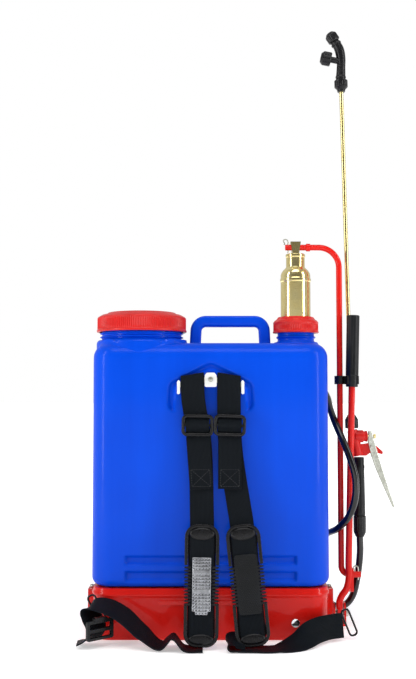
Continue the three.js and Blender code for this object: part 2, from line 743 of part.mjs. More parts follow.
function valvePlunger() {
  const stem = turned([[0, 0], [1.9, 0], [1.9, 26.5], [4, 26.5], [4, 30.5], [0, 30.5]], 0, 0, 12);
  stem.rotateY(Math.PI / 2);
  stem.translate(248.5, LANCE_Y, PLUNGER_Z);
  return stem;
}

onLance("valve_plunger", valvePlunger(), BRASS);

// The trigger is a folded channel: a web towards +X and two cheeks that straddle the valve's arm.
function trigger() {
  const outline = [
    [267.2, 322], [272, 322], [275.8, 300], [281, 270], [293, 236], [310, 196], [306, 193],
    [288, 230], [276, 262], [269, 284], [266, 300],
  ];
  const hollow = [
    [262, 330], [270.4, 330], [270.4, 322], [274.2, 300], [279.4, 270], [291.2, 236], [308, 196],
    [300, 180], [250, 230], [256, 300],
  ];
  const skin = plateAlongY(outline, LANCE_Y - 5.6, LANCE_Y + 5.6);
  const room = plateAlongY(hollow, LANCE_Y - 4, LANCE_Y + 4);
  const stemHole = tube([[260, LANCE_Y, PLUNGER_Z], [280, LANCE_Y, PLUNGER_Z]], 3.7, 10);
  const armHole = box(262, LANCE_Y - 4, 280, 292, LANCE_Y + 4, 305);
  const rivetHole = tube([[271, 0, 296], [271, 30, 296]], 1.7, 10);
  return cut(skin, room, stemHole, armHole, rivetHole);
}

onLance("trigger", trigger(), ZINC);

function triggerRivet() {
  const rivet = turned([
    [0, -7.2], [3, -7.2], [3, -5.9], [1.45, -5.9], [1.45, 5.9], [3, 5.9], [3, 7.2], [0, 7.2],
  ], 0, 0, 10);
  rivet.rotateX(Math.PI / 2);
  rivet.translate(TRIGGER_PIVOT[0], LANCE_Y, TRIGGER_PIVOT[1]);
  return rivet;
}

onLance("trigger_rivet", triggerRivet(), ZINC);

onLance("handle_grip", turned([
  [0, HANDLE.low], [9.4, HANDLE.low], [HANDLE.radius, HANDLE.low + 3], [9, HANDLE.high - 20],
  [9, HANDLE.high], [0, HANDLE.high],
], HANDLE.x - 0.4, LANCE_Y, 18), BLACK);
onLance("hose_nut", turned([
  [0, 146], [7, 146], [10.2, 153], [10.6, HANDLE.low - GAP], [0, HANDLE.low - GAP],
], HANDLE.x, LANCE_Y, 16), BLACK);

// ---- harness ------------------------------------------------------------------------------

const HANGER_Y = FRONT - GAP;

function strapHanger() {
  const bar = plateAlongY([
    [-52, 394], [-48.5, 394], [-48.5, 395.5], [-9, 403], [9, 403], [48.5, 395.5], [48.5, 394], [52, 394],
    [53, 401], [49, 403.5], [9, 411], [-9, 411], [-49, 403.5], [-53, 401],
  ], HANGER_Y - 7.6, HANGER_Y - 3.4);
  const tip = plateAlongY([
    [48.4, 386], [50.6, 384.5], [53, 386], [53, 403], [50, 407], [48.4, 404],
  ], HANGER_Y - 12, HANGER_Y - 1);
  const otherTip = tip.clone();
  otherTip.rotateZ(Math.PI);
  otherTip.translate(0, 2 * HANGER_Y - 13, 0);
  const tab = plateAlongY([
    [-9.4, 396], [9.4, 396], [9.4, 414], [6, 418.5], [-6, 418.5], [-9.4, 414],
  ], HANGER_Y - 12, HANGER_Y);
  return unite(bar, tip, otherTip, tab);
}

add("strap_hanger", strapHanger(), PALE);

function hangerScrew() {
  const screw = turned([[0, 0], [4, 0], [3.4, 2], [0, 2.4]], 0, 0, 12);
  screw.rotateX(Math.PI / 2);
  screw.translate(0, HANGER_Y - 12 - GAP, 408);
  return screw;
}

add("hanger_screw", hangerScrew(), ZINC);

const X_WAY = [1, 0, 0];

// Each shoulder strap is webbing from the hanger, a slide buckle, a pad and a lower strap.
// The webbing loops over the hanger's bar, so its first stretch runs up behind the bar.
function upperStrap(side, places) {
  const lean = [1, 0, -0.17 * side];
  const x = side * 29;
  const [front, back] = [HANGER_Y - 9.4, HANGER_Y - 1.6];
  const top = [
    { at: [x, back, 392], across: lean }, { at: [x, back, 409], across: lean },
    { at: [x, back - 2.2, 414.8], across: lean }, { at: [x, front + 2.2, 414.8], across: lean },
    { at: [x, front, 409], across: lean },
  ];
  return ribbon([...top, ...places.map((at) => ({ at, across: X_WAY }))], 18.6);
}

add("strap_upper_left", upperStrap(-1, [
  [-27.4, HANGER_Y - 11, 376], [-21, FRONT - 14.3, 336], [-16.5, FRONT - 17, 300],
  [-13.4, FRONT - 30, 187.5],
]), WEBBING);
add("strap_upper_right", upperStrap(1, [
  [28.6, HANGER_Y - 11, 376], [31, FRONT - 17, 300], [47.5, FRONT - 30, 187.5],
]), WEBBING);

// Slide buckle: a flat frame with a middle bar, the webbing running behind it.
function slideBuckle(x, tilt) {
  const frame = box(-25, -2.2, -17, 25, 2.2, 17);
  const slots = [-8.6, 8.6].map((z) => box(-20, -4, z - 4.4, 20, 4, z + 4.4));
  const buckle = cut(frame, ...slots);
  buckle.rotateY(THREE.MathUtils.degToRad(tilt));
  buckle.translate(x, FRONT - 19.6, 336);
  return buckle;
}

add("slide_buckle_left", slideBuckle(-20.5, 1), BLACK);
add("slide_buckle_right", slideBuckle(30, 2), BLACK);

// A shoulder pad leaning from its top to the floor.
function shoulderPad(top, bottom) {
  const ring = (centre, half, thick) => [[-1, -1], [1, -1], [1, 1], [-1, 1]].map(([a, b]) => {
    return new THREE.Vector3(centre[0] + a * half, centre[1] + b * thick, centre[2]);
  });
  const between = (share) => top.map((value, i) => value + share * (bottom[i] - value));
  return loft([
    ring(bottom, PAD.half - 5, PAD.thick - 5), ring(between(0.95), PAD.half, PAD.thick),
    ring(between(0.04), PAD.half, PAD.thick), ring(top, PAD.half - 5, PAD.thick - 5),
  ]);
}

const leftPad = { top: [-13, FRONT - 32, 184], bottom: [-15, FRONT - 49, 4.6] };
const rightPad = { top: [48, FRONT - 32, 184], bottom: [65, FRONT - 47, 5] };
add("shoulder_pad_left", shoulderPad(leftPad.top, leftPad.bottom), PADDING);
add("shoulder_pad_right", shoulderPad(rightPad.top, rightPad.bottom), PADDING);

// The lower straps lie on the floor and rise to the base's two ends.
const Y_WAY = [0, 1, 0];
add("strap_lower_left", ribbon([
  { at: [-12, FRONT - 52, 1.6], across: Y_WAY }, { at: [-40, FRONT - 52, 3], across: Y_WAY },
  { at: [-57, FRONT - 50, 19], across: Y_WAY }, { at: [-76, FRONT - 46, 5], across: [0, 1, 0.1] },
  { at: [-104, FRONT - 38, 22], across: [0, 1, 0.5] }, { at: [-134, FRONT - 28, 46], across: [0.2, 1, 0.5] },
  { at: [-160, FRONT - 26, 59], across: [0.3, 1, 0.4] }, { at: [-180, FRONT - 26, 61], across: [0.3, 1, 0.3] },
  { at: [-188, FRONT - 26, 55], across: [0.5, 1, 0.3] }, { at: [-183, FRONT - 28, 44], across: [0.8, 0.8, 0.1] },
  { at: [-176, FRONT - 30, 28], across: [0.8, 0.7, 0] }, { at: [-184, FRONT - 32, 13], across: [0.6, 0.8, 0] },
  { at: [-204, FRONT - 34, 5], across: [0.1, 1, 0] },
], WEB.half, 4), WEBBING);
add("strap_lower_right", ribbon([
  { at: [62, FRONT - 52, 1.6], across: Y_WAY }, { at: [104, FRONT - 52, 1.8], across: Y_WAY },
  { at: [134, FRONT - 42, 9], across: [0, 1, 0.6] }, { at: [158, FRONT - 26, 20], across: [0, 0.6, 1] },
  { at: [182, FRONT - 10, 23], across: [0, 0.15, 1] }, { at: [207, FRONT + 4, 23], across: [-0.3, 0, 1] },
], WEB.half, 6), WEBBING);

// Ladder lock at the left strap's end, with its loose tail lying on the floor.
function ladderLock() {
  const frame = box(-24, -2.6, -15, 24, 2.6, 15);
  const lock = cut(frame, box(-19.6, -4, -11, 19.6, 4, -3), box(-19.6, -4, 2, 19.6, 4, 10));
  lock.rotateZ(THREE.MathUtils.degToRad(41));
  lock.translate(-169, FRONT - 38, 27);
  return lock;
}

add("ladder_lock", ladderLock(), BLACK);

// Wire rings that take the lower ends of the straps, and the links that hold them to the base.
function wireRing(centre, halfLong, halfWide, tilt) {
  const corners = [[-1, -1], [1, -1], [1, 1], [-1, 1]];
  const outer = corners.map(([a, b]) => [a * (halfLong + 1.6), b * (halfWide + 1.6)]);
  const inner = corners.map(([a, b]) => [a * (halfLong - 1.6), b * (halfWide - 1.6)]);
  const ring = cut(plateAlongY(outer, -1.6, 1.6), plateAlongY(inner, -4, 4));
  ring.rotateY(THREE.MathUtils.degToRad(tilt));
  ring.translate(...centre);
  return ring;
}

add("strap_ring_right", wireRing([218, FRONT + 9, 26], 21, 6, 68), BLACK);
add("strap_ring_left", wireRing([-178, FRONT - 5, 52], 21, 6, 62), BLACK);

export default sprayer;
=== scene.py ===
import json
import math

import bmesh
import bpy
from mathutils import Matrix, Vector


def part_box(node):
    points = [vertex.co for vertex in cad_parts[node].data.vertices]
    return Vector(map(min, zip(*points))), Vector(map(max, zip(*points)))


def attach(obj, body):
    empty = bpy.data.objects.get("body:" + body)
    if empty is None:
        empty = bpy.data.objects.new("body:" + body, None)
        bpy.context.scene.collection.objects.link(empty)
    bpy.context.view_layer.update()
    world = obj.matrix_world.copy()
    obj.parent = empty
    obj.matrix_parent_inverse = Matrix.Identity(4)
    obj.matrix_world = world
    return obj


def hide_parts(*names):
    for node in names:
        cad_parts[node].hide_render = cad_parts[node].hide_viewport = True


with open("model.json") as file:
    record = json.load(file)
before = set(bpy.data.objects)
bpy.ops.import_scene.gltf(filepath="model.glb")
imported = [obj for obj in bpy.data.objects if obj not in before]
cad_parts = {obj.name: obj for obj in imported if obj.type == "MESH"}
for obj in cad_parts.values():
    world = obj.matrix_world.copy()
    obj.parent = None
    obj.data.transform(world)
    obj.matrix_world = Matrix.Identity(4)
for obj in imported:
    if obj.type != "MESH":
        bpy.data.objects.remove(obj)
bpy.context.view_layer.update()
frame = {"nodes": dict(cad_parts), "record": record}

MM = 0.001
TURN = 2 * math.pi
RECORD = frame["record"]
SLOT_OF = {part["node"]: part["material_slot"] for part in RECORD["subparts"]}
BODY_OF = {
    node: body
    for body, members in RECORD["behaviour"]["bodies"].items()
    for node in members
}


def node_box(name):
    """Lowest and highest corner of a CAD node, in millimetres."""
    low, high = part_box(name)
    return low / MM, high / MM


def axis_of(name):
    """Plan centre (x, y) of a turned CAD node."""
    low, high = node_box(name)
    return (low.x + high.x) / 2, (low.y + high.y) / 2


# ---- driving dimensions -------------------------------------------------------------------

TANK_LOW, TANK_HIGH = node_box("tank")
TANK_CORNER = 36
TANK_SHOULDER = 467  # height of the flat top
TANK_TOP_ROUND = 24
TANK_FOOT_ROUND = 13
FRONT = TANK_LOW.y
CAP_X, CAP_Y = axis_of("filler_cap")
CAP_LOW, CAP_HIGH = node_box("filler_cap")
BOSS_RADIUS = 75
BOSS_TOP = 474
NECK_RADIUS = 66
NECK_BORE = 61
PUMP_X, PUMP_Y = axis_of("pressure_chamber")
PUMP_NECK = 30.5
YOKE_PIN = 632
PIVOT_Z = 24
LOWER_PIN = 86
SLOT_TRAVEL = 11
ROD_X = 217
ROD_RADIUS = 5
SLOT_HALF = ROD_RADIUS + 2.5
LEVER_RADIUS = 5.5
LEVER_Y = -12
LEVER_TOP = 512
GRIP_LOW = 396.5
LANCE_Y = 14
LANCE_RADIUS = 3.5
LANCE_LOW = Vector((238.3, LANCE_Y, 344))
LANCE_HIGH = Vector((224.8, LANCE_Y, 934))
HANDLE_X = 250.5
PLUNGER_Z = 313.5
WEB_HALF = 19
WEB_THICK = 1.1
OUTLET_Z = 165
HOSE_RADIUS = 5.75
HANGER_Y = FRONT - 0.4


# ---- camera -------------------------------------------------------------------------------

CAMERA_PLACE = (-0.0042, -1.556, 0.388)
CAMERA_PITCH = 3.245  # degrees above the horizon
CAMERA_LENS = 49.1


def make_camera():
    data = bpy.data.cameras.new("camera")
    data.sensor_fit = "VERTICAL"
    data.sensor_height = 36
    data.lens = CAMERA_LENS
    camera = bpy.data.objects.new("camera", data)
    camera.location = CAMERA_PLACE
    camera.rotation_euler = (math.radians(90 + CAMERA_PITCH), 0, 0)
    bpy.context.scene.collection.objects.link(camera)
    bpy.context.scene.camera = camera


make_camera()


# ---- materials ----------------------------------------------------------------------------


class Finish:
    """A procedural material round one Principled shader, with object coordinates in metres."""

    def __init__(self, name, **inputs):
        self.material = bpy.data.materials.new(name)
        self.material.use_nodes = True
        self.tree = self.material.node_tree
        self.shader = self.tree.nodes["Principled BSDF"]
        for key, value in inputs.items():
            self.shader.inputs[key.replace("_", " ")].default_value = value
        self.heights = []

    def node(self, kind, **settings):
        made = self.tree.nodes.new(kind)
        for key, value in settings.items():
            setattr(made, key, value)
        return made

    def link(self, source, target):
        self.tree.links.new(source, target)

    def place(self, stretch=(1, 1, 1), layer=None):
        """Coordinates of the surface: the object's own, or a named map."""
        if layer is None:
            source = self.node("ShaderNodeTexCoord").outputs["Object"]
        else:
            source = self.node("ShaderNodeUVMap", uv_map=layer).outputs["UV"]
        scaled = self.node("ShaderNodeMapping")
        scaled.inputs["Scale"].default_value = stretch
        self.link(source, scaled.inputs["Vector"])
        return scaled.outputs["Vector"]

    def noise(self, scale, detail=3, rough=0.5, stretch=(1, 1, 1), layer=None):
        made = self.node("ShaderNodeTexNoise")
        made.inputs["Scale"].default_value = scale
        made.inputs["Detail"].default_value = detail
        made.inputs["Roughness"].default_value = rough
        self.link(self.place(stretch, layer), made.inputs["Vector"])
        return made.outputs["Fac"]

    def cells(self, scale, stretch=(1, 1, 1), output="Distance", layer=None):
        made = self.node("ShaderNodeTexVoronoi")
        made.inputs["Scale"].default_value = scale
        self.link(self.place(stretch, layer), made.inputs["Vector"])
        return made.outputs[output]

    def wave(self, scale, direction, layer=None, stretch=(1, 1, 1), distort=0):
        made = self.node("ShaderNodeTexWave", bands_direction=direction)
        made.inputs["Scale"].default_value = scale
        made.inputs["Distortion"].default_value = distort
        self.link(self.place(stretch, layer), made.inputs["Vector"])
        return made.outputs["Fac"]

    def steps(self, factor, low, high, start=0.0, end=1.0):
        """Maps factor from low..high to start..end and holds it outside them."""
        made = self.node("ShaderNodeMapRange")
        for key, value in (("From Min", low), ("From Max", high), ("To Min", start), ("To Max", end)):
            made.inputs[key].default_value = value
        self.link(factor, made.inputs["Value"])
        return made.outputs["Result"]

    def maths(self, operation, a, b):
        made = self.node("ShaderNodeMath", operation=operation)
        for socket, value in zip(made.inputs, (a, b)):
            if isinstance(value, (int, float)):
                socket.default_value = value
            else:
                self.link(value, socket)
        return made.outputs["Value"]

    def colours(self, factor, first, second):
        made = self.node("ShaderNodeMix", data_type="RGBA")
        self.link(factor, made.inputs["Factor"])
        for socket, value in ((made.inputs[6], first), (made.inputs[7], second)):
            if isinstance(value, tuple):
                socket.default_value = (*value, 1)
            else:
                self.link(value, socket)
        return made.outputs[2]

    def colour(self, output):
        self.link(output, self.shader.inputs["Base Color"])

    def roughness(self, output):
        self.link(output, self.shader.inputs["Roughness"])

    def bump(self, height, distance, strength=1.0):
        """Adds relief of the given height in metres to what is there already."""
        made = self.node("ShaderNodeBump")
        made.inputs["Distance"].default_value = distance
        made.inputs["Strength"].default_value = strength
        self.link(height, made.inputs["Height"])
        if self.heights:
            self.link(self.heights[-1], made.inputs["Normal"])
        self.heights.append(made.outputs["Normal"])
        self.link(made.outputs["Normal"], self.shader.inputs["Normal"])


def blow_moulded(name, main, shade):
    """Polyethylene with faint vertical flow lines, a fine skin and scuffs."""
    finish = Finish(name, Specular_IOR_Level=0.05, Coat_Weight=0.12, Coat_Roughness=0.09)
    flow = finish.noise(22, 4, 0.6, (1, 1, 0.06))
    blotch = finish.noise(7, 2)
    mixed = finish.maths("ADD", finish.maths("MULTIPLY", flow, 0.55), finish.maths("MULTIPLY", blotch, 0.45))
    finish.colour(finish.colours(finish.steps(mixed, 0.38, 0.62), shade, main))
    scuff = finish.noise(260, 5, 0.7, (1, 1, 0.5))
    finish.roughness(finish.steps(finish.maths("ADD", scuff, flow), 0.7, 1.3, 0.3, 0.44))
    finish.bump(flow, 0.0007, 0.35)
    finish.bump(finish.noise(900, 2), 0.00006, 0.5)
    return finish.material


def moulded(name, main, shade, rough=(0.3, 0.45), grain=1200, depth=0.00005):
    """Injection moulding with a fine grained skin."""
    finish = Finish(name, Specular_IOR_Level=0.28)
    blotch = finish.noise(30, 3)
    finish.colour(finish.colours(finish.steps(blotch, 0.35, 0.65), shade, main))
    finish.roughness(finish.steps(finish.noise(140, 4, 0.6), 0.3, 0.7, *rough))
    finish.bump(finish.noise(grain, 2), depth)
    return finish.material


def painted_steel(name):
    """Gloss enamel over steel: orange peel, a blotchy tone and chips on the thin edges."""
    finish = Finish(name, Specular_IOR_Level=0.1, Coat_Weight=0.28, Coat_Roughness=0.05)
    blotch = finish.noise(9, 3)
    body = finish.colours(finish.steps(blotch, 0.35, 0.65), (0.58, 0.007, 0.004), (0.66, 0.010, 0.006))
    edge = finish.steps(finish.node("ShaderNodeNewGeometry").outputs["Pointiness"], 0.56, 0.64)
    chips = finish.maths("MULTIPLY", edge, finish.steps(finish.noise(420, 4, 0.7), 0.6, 0.64))
    finish.colour(finish.colours(chips, body, (0.20, 0.10, 0.08)))
    finish.roughness(finish.steps(finish.noise(60, 4), 0.3, 0.7, 0.24, 0.38))
    finish.bump(finish.noise(420, 1), 0.00008, 0.5)
    return finish.material


def polished_metal(name, main, shade, rough, stretch, coat=0.0):
    """Metal polished round its axis: fine lines, faint tarnish and smears."""
    finish = Finish(name, Metallic=1.0, Coat_Weight=coat, Coat_Roughness=0.1)
    tarnish = finish.noise(38, 5, 0.65)
    finish.colour(finish.colours(finish.steps(tarnish, 0.42, 0.72), main, shade))
    lines = finish.noise(700, 3, 0.6, stretch)
    smear = finish.maths("ADD", finish.maths("MULTIPLY", lines, 0.6), finish.maths("MULTIPLY", tarnish, 0.4))
    finish.roughness(finish.steps(smear, 0.35, 0.65, *rough))
    finish.bump(lines, 0.00002, 0.4)
    return finish.material


def zinc_plated(name):
    finish = Finish(name, Metallic=1.0)
    spangle = finish.cells(260, output="Color")
    tone = finish.node("ShaderNodeSeparateColor")
    finish.link(spangle, tone.inputs["Color"])
    finish.colour(finish.colours(tone.outputs["Red"], (0.42, 0.43, 0.37), (0.60, 0.61, 0.55)))
    finish.roughness(finish.steps(finish.noise(180, 5, 0.7), 0.3, 0.7, 0.22, 0.4))
    finish.bump(finish.noise(600, 4, 0.7), 0.00004, 0.6)
    return finish.material


def woven(name, main, light, layer="weave"):
    """Webbing: cross ribs of yarn between two raised lengthwise bands, with a slight sheen."""
    finish = Finish(name, Sheen_Weight=0.01, Sheen_Roughness=0.4, Specular_IOR_Level=0.08)
    ribs = finish.wave(0.85, "Y", layer)
    yarns = finish.wave(1.7, "X", layer)
    bands = finish.wave(0.16, "X", layer)
    dust = finish.noise(1.3, 5, 0.7, layer=layer)
    weave = finish.maths("MULTIPLY", ribs, finish.steps(yarns, 0, 1, 0.45, 1))
    tone = finish.maths("ADD", finish.maths("MULTIPLY", bands, 0.5), finish.maths("MULTIPLY", dust, 0.5))
    finish.colour(finish.colours(finish.steps(tone, 0.3, 0.8), main, light))
    finish.roughness(finish.steps(weave, 0, 1, 0.5, 0.36))
    finish.bump(weave, 0.00035, 0.8)
    finish.bump(bands, 0.0004, 0.6)
    return finish.material


def knitted(name, main, light):
    """Pad covering: a close knit over foam."""
    finish = Finish(name, Sheen_Weight=0.02, Sheen_Roughness=0.5, Specular_IOR_Level=0.12)
    knit = finish.cells(620)
    finish.colour(finish.colours(finish.steps(knit, 0.1, 0.6), light, main))
    finish.roughness(finish.steps(finish.noise(90, 4), 0.3, 0.7, 0.7, 0.85))
    finish.bump(knit, 0.0005, 0.7)
    return finish.material


def rubber(name, main, light, rough=(0.42, 0.6), gloss=0.25):
    finish = Finish(name, Specular_IOR_Level=gloss)
    bloom = finish.noise(45, 5, 0.65)
    finish.colour(finish.colours(finish.steps(bloom, 0.45, 0.75), main, light))
    finish.roughness(finish.steps(bloom, 0.3, 0.7, *rough))
    finish.bump(finish.noise(700, 3), 0.00006, 0.6)
    return finish.material


def leather(name):
    finish = Finish(name)
    grain = finish.cells(420, output="Distance")
    finish.colour(finish.colours(finish.noise(60, 4), (0.10, 0.045, 0.02), (0.20, 0.10, 0.05)))
    finish.roughness(finish.steps(grain, 0, 0.8, 0.55, 0.75))
    finish.bump(grain, 0.0002, 0.6)
    return finish.material


MATERIALS = {
    "blue_plastic": blow_moulded("blue_plastic_look", (0.0, 0.066, 0.66), (0.0, 0.056, 0.59)),
    "red_plastic": moulded("red_plastic_look", (0.60, 0.012, 0.010), (0.54, 0.010, 0.008), (0.3, 0.4)),
    "red_paint": painted_steel("red_paint_look"),
    "brass": polished_metal("brass_look", (0.86, 0.74, 0.36), (0.74, 0.58, 0.22), (0.08, 0.20), (1, 1, 26)),
    "zinc": zinc_plated("zinc_look"),
    "chrome": polished_metal("chrome_look", (0.80, 0.81, 0.83), (0.62, 0.62, 0.63), (0.05, 0.16), (9, 1, 1)),
    "black_plastic": moulded("black_plastic_look", (0.006, 0.006, 0.007), (0.003, 0.003, 0.004), (0.22, 0.36)),
    "rubber": rubber("rubber_look", (0.003, 0.004, 0.005), (0.008, 0.009, 0.011), (0.3, 0.45)),
    "hose_rubber": rubber("hose_look", (0.002, 0.002, 0.003), (0.005, 0.005, 0.007), (0.1, 0.2), 0.5),
    "webbing": woven("webbing_look", (0.0015, 0.0025, 0.004), (0.008, 0.012, 0.017)),
    "padding": knitted("padding_look", (0.004, 0.004, 0.005), (0.012, 0.012, 0.014)),
    "pale_plastic": moulded("pale_plastic_look", (0.78, 0.79, 0.77), (0.70, 0.71, 0.69), (0.35, 0.5)),
    "grey_plastic": moulded("grey_plastic_look", (0.50, 0.52, 0.55), (0.40, 0.42, 0.45), (0.4, 0.55)),
    "leather": leather("leather_look"),
}
PLATE_LOOK = polished_metal("pad_plate_look", (0.34, 0.35, 0.37), (0.07, 0.07, 0.08), (0.16, 0.3), (1, 1, 1))
THREAD_LOOK = rubber("thread_look", (0.03, 0.031, 0.034), (0.06, 0.062, 0.066), (0.45, 0.6))


# ---- shape helpers ------------------------------------------------------------------------
# A shape is a pair: points in millimetres, and faces as tuples of point numbers.


def joined(*shapes):
    points, faces = [], []
    for more_points, more_faces in shapes:
        start = len(points)
        points.extend(more_points)
        faces.extend(tuple(start + i for i in face) for face in more_faces)
    return points, faces


def moved(shape, matrix):
    points, faces = shape
    return [matrix @ Vector(point) for point in points], faces


def shifted(shape, x=0.0, y=0.0, z=0.0):
    return moved(shape, Matrix.Translation((x, y, z)))


def axes(across, along, out, origin=(0, 0, 0)):
    """The matrix that takes X, Y and Z to the three given directions, at an origin."""
    matrix = Matrix([across, along, out]).transposed().to_4x4()
    return Matrix.Translation(origin) @ matrix


ALONG_X = axes((0, 1, 0), (0, 0, 1), (1, 0, 0))  # drawn in Y and Z, thick along X
ALONG_Y = axes((1, 0, 0), (0, 0, 1), (0, -1, 0))  # drawn in X and Z, thick along -Y


def aimed(direction, origin):
    """The matrix that stands Z along a direction, at an origin."""
    turn = Vector((0, 0, 1)).rotation_difference(Vector(direction))
    return Matrix.Translation(origin) @ turn.to_matrix().to_4x4()


def loft(rings, wrap=False, caps=True):
    """Skins a row of closed loops of the same number of points."""
    count = len(rings[0])
    rows = len(rings)
    points = [Vector(point) for ring in rings for point in ring]
    faces = []
    for i in range(rows if wrap else rows - 1):
        low, high = i * count, ((i + 1) % rows) * count
        for j in range(count):
            k = (j + 1) % count
            faces.append((low + j, low + k, high + k, high + j))
    if caps and not wrap:
        faces.append(tuple(reversed(range(count))))
        faces.append(tuple(range(len(points) - count, len(points))))
    return points, faces


def turned(profile, sides=96, wave=None, closed=False):
    """A shape turned about Z from (radius, height) pairs; wave(angle, radius, height) shapes the radius."""
    rings = []
    for radius, height in profile:
        ring = []
        for i in range(sides):
            angle = TURN * i / sides
            r = wave(angle, radius, height) if wave else radius
            ring.append(Vector((r * math.cos(angle), r * math.sin(angle), height)))
        rings.append(ring)
    return loft(rings, wrap=closed, caps=not closed)


def bent(points, radius, steps=6, closed=False):
    """A broken line with its corners replaced by arcs. radius is one number, or one for each corner."""
    points = [Vector(point).to_3d() for point in points]
    count = len(points)
    inner = range(count) if closed else range(1, count - 1)
    radii = dict(zip(inner, radius)) if isinstance(radius, (list, tuple)) else {i: radius for i in inner}
    line = []
    for i, corner in enumerate(points):
        if i not in radii:
            line.append(corner)
            continue
        before = points[i - 1] - corner
        after = points[(i + 1) % count] - corner
        half = before.angle(after) / 2
        if half > math.radians(89) or radii[i] <= 0:
            line.append(corner)
            continue
        reach = min(radii[i] / math.tan(half), before.length * 0.48, after.length * 0.48)
        start = corner + before.normalized() * reach
        onward = -before.normalized()
        inward = (after.normalized() - onward * onward.dot(after.normalized())).normalized()
        arc = reach * math.tan(half)
        for k in range(steps + 1):
            turn = (math.pi - 2 * half) * k / steps
            line.append(start + onward * (arc * math.sin(turn)) + inward * (arc * (1 - math.cos(turn))))
    return line


def eased(profile, radius, steps=4, closed=False):
    """A profile of pairs with its corners rounded."""
    return [(point.x, point.y) for point in bent([(a, b, 0) for a, b in profile], radius, steps, closed)]


def spline(points, steps):
    """A centripetal Catmull-Rom curve through the points, with that many steps between two of them."""
    points = [Vector(point) for point in points]
    points = [2 * points[0] - points[1], *points, 2 * points[-1] - points[-2]]
    line = []
    for i in range(1, len(points) - 2):
        p0, p1, p2, p3 = points[i - 1 : i + 3]
        t0, t1, t2 = ((b - a).length ** 0.5 for a, b in ((p0, p1), (p1, p2), (p2, p3)))
        leave = ((p1 - p0) / t0 - (p2 - p0) / (t0 + t1) + (p2 - p1) / t1) * t1
        reach = ((p2 - p1) / t1 - (p3 - p1) / (t1 + t2) + (p3 - p2) / t2) * t1
        for k in range(steps):
            t = k / steps
            a = 2 * p1 - 2 * p2 + leave + reach
            b = -3 * p1 + 3 * p2 - 2 * leave - reach
            line.append(a * t**3 + b * t**2 + leave * t + p1)
    line.append(points[-2])
    return line


def circle(radius, sides=24):
    return [
        (radius * math.cos(TURN * i / sides), radius * math.sin(TURN * i / sides))
        for i in range(sides)
    ]


def rounded_box(half_a, half_b, corner, steps=4):
    """A flat rounded rectangle of pairs."""
    corners = [(-half_a, -half_b), (half_a, -half_b), (half_a, half_b), (-half_a, half_b)]
    return eased(corners, corner, steps, closed=True)


def swept(path, section, closed=False, size=None):
    """Carries a flat section along a path without twisting it. size(share) scales it on the way."""
    path = [Vector(point) for point in path]
    last = len(path) - 1
    rings = []
    side = None
    for i, point in enumerate(path):
        if closed:
            ahead, behind = path[(i + 1) % len(path)], path[i - 1]
        else:
            ahead, behind = path[min(i + 1, last)], path[max(i - 1, 0)]
        tangent = (ahead - behind).normalized()
        if side is None:
            side = Vector((0, 0, 1)) if abs(tangent.z) < 0.9 else Vector((1, 0, 0))
        side = (side - tangent * side.dot(tangent)).normalized()
        across = tangent.cross(side)
        scale = size(i / last) if size else 1
        rings.append([point + side * (a * scale) + across * (b * scale) for a, b in section])
    return loft(rings, wrap=closed)


def plate(outlines, thickness):
    """A flat plate with Z as its thickness, from its edge's outline and those of its holes."""
    form = bmesh.new()
    edges = []
    for outline in outlines:
        corners = [form.verts.new((point[0], point[1], -thickness / 2)) for point in outline]
        edges += [form.edges.new(pair) for pair in zip(corners, corners[1:] + corners[:1])]
    bmesh.ops.triangle_fill(form, edges=edges, use_beauty=True)
    lifted = bmesh.ops.extrude_face_region(form, geom=form.faces[:])["geom"]
    top = [item for item in lifted if isinstance(item, bmesh.types.BMVert)]
    bmesh.ops.translate(form, vec=(0, 0, thickness), verts=top)
    form.verts.index_update()
    shape = [v.co.copy() for v in form.verts], [tuple(v.index for v in f.verts) for f in form.faces]
    form.free()
    return shape


def block(size, corner=1.0, steps=3):
    """A box about the origin with its upright corners rounded."""
    return plate([rounded_box(size[0] / 2, size[1] / 2, corner, steps)], size[2])


def ring_of(centre_x, centre_y, radius, sides=32):
    return [(centre_x + a, centre_y + b) for a, b in circle(radius, sides)]


# ---- pieces -------------------------------------------------------------------------------


def make_mesh(name, shape, weld=True):
    points, faces = shape
    mesh = bpy.data.meshes.new(name)
    mesh.from_pydata([Vector(point) * MM for point in points], [], faces)
    form = bmesh.new()
    form.from_mesh(mesh)
    if weld:
        bmesh.ops.remove_doubles(form, verts=form.verts, dist=1e-6)
    bmesh.ops.recalc_face_normals(form, faces=form.faces)
    form.to_mesh(mesh)
    form.free()
    return mesh


def link_piece(name, data, nodes, slot=None, look=None, body=None):
    """Puts a piece on the body of the CAD nodes that it stands for, with their finish."""
    piece = bpy.data.objects.new(name, data)
    bpy.context.scene.collection.objects.link(piece)
    slot = slot or SLOT_OF[nodes[0]]
    data.materials.append(look or MATERIALS[slot])
    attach(piece, body or BODY_OF[nodes[0]])
    if nodes:
        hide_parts(*nodes)
    return piece


def smooth(piece, angle=35):
    piece.data.shade_smooth()
    piece.data.set_sharp_from_angle(angle=math.radians(angle))
    return piece


def soften(piece, width, segments=3, angle=35):
    """Rounds a piece's sharp edges."""
    edges = piece.modifiers.new("edges", "BEVEL")
    edges.width = width * MM
    edges.segments = segments
    edges.limit_method = "ANGLE"
    edges.angle_limit = math.radians(angle)
    edges.use_clamp_overlap = True
    edges.harden_normals = True
    return piece


def build(name, shape, *nodes, slot=None, look=None, body=None, edge=0.0, angle=35):
    """A mesh piece from a shape; edge is the rounding of its sharp edges."""
    piece = link_piece(name, make_mesh(name, shape), nodes, slot, look, body)
    smooth(piece, angle)
    if edge > 0:
        soften(piece, edge)
    return piece


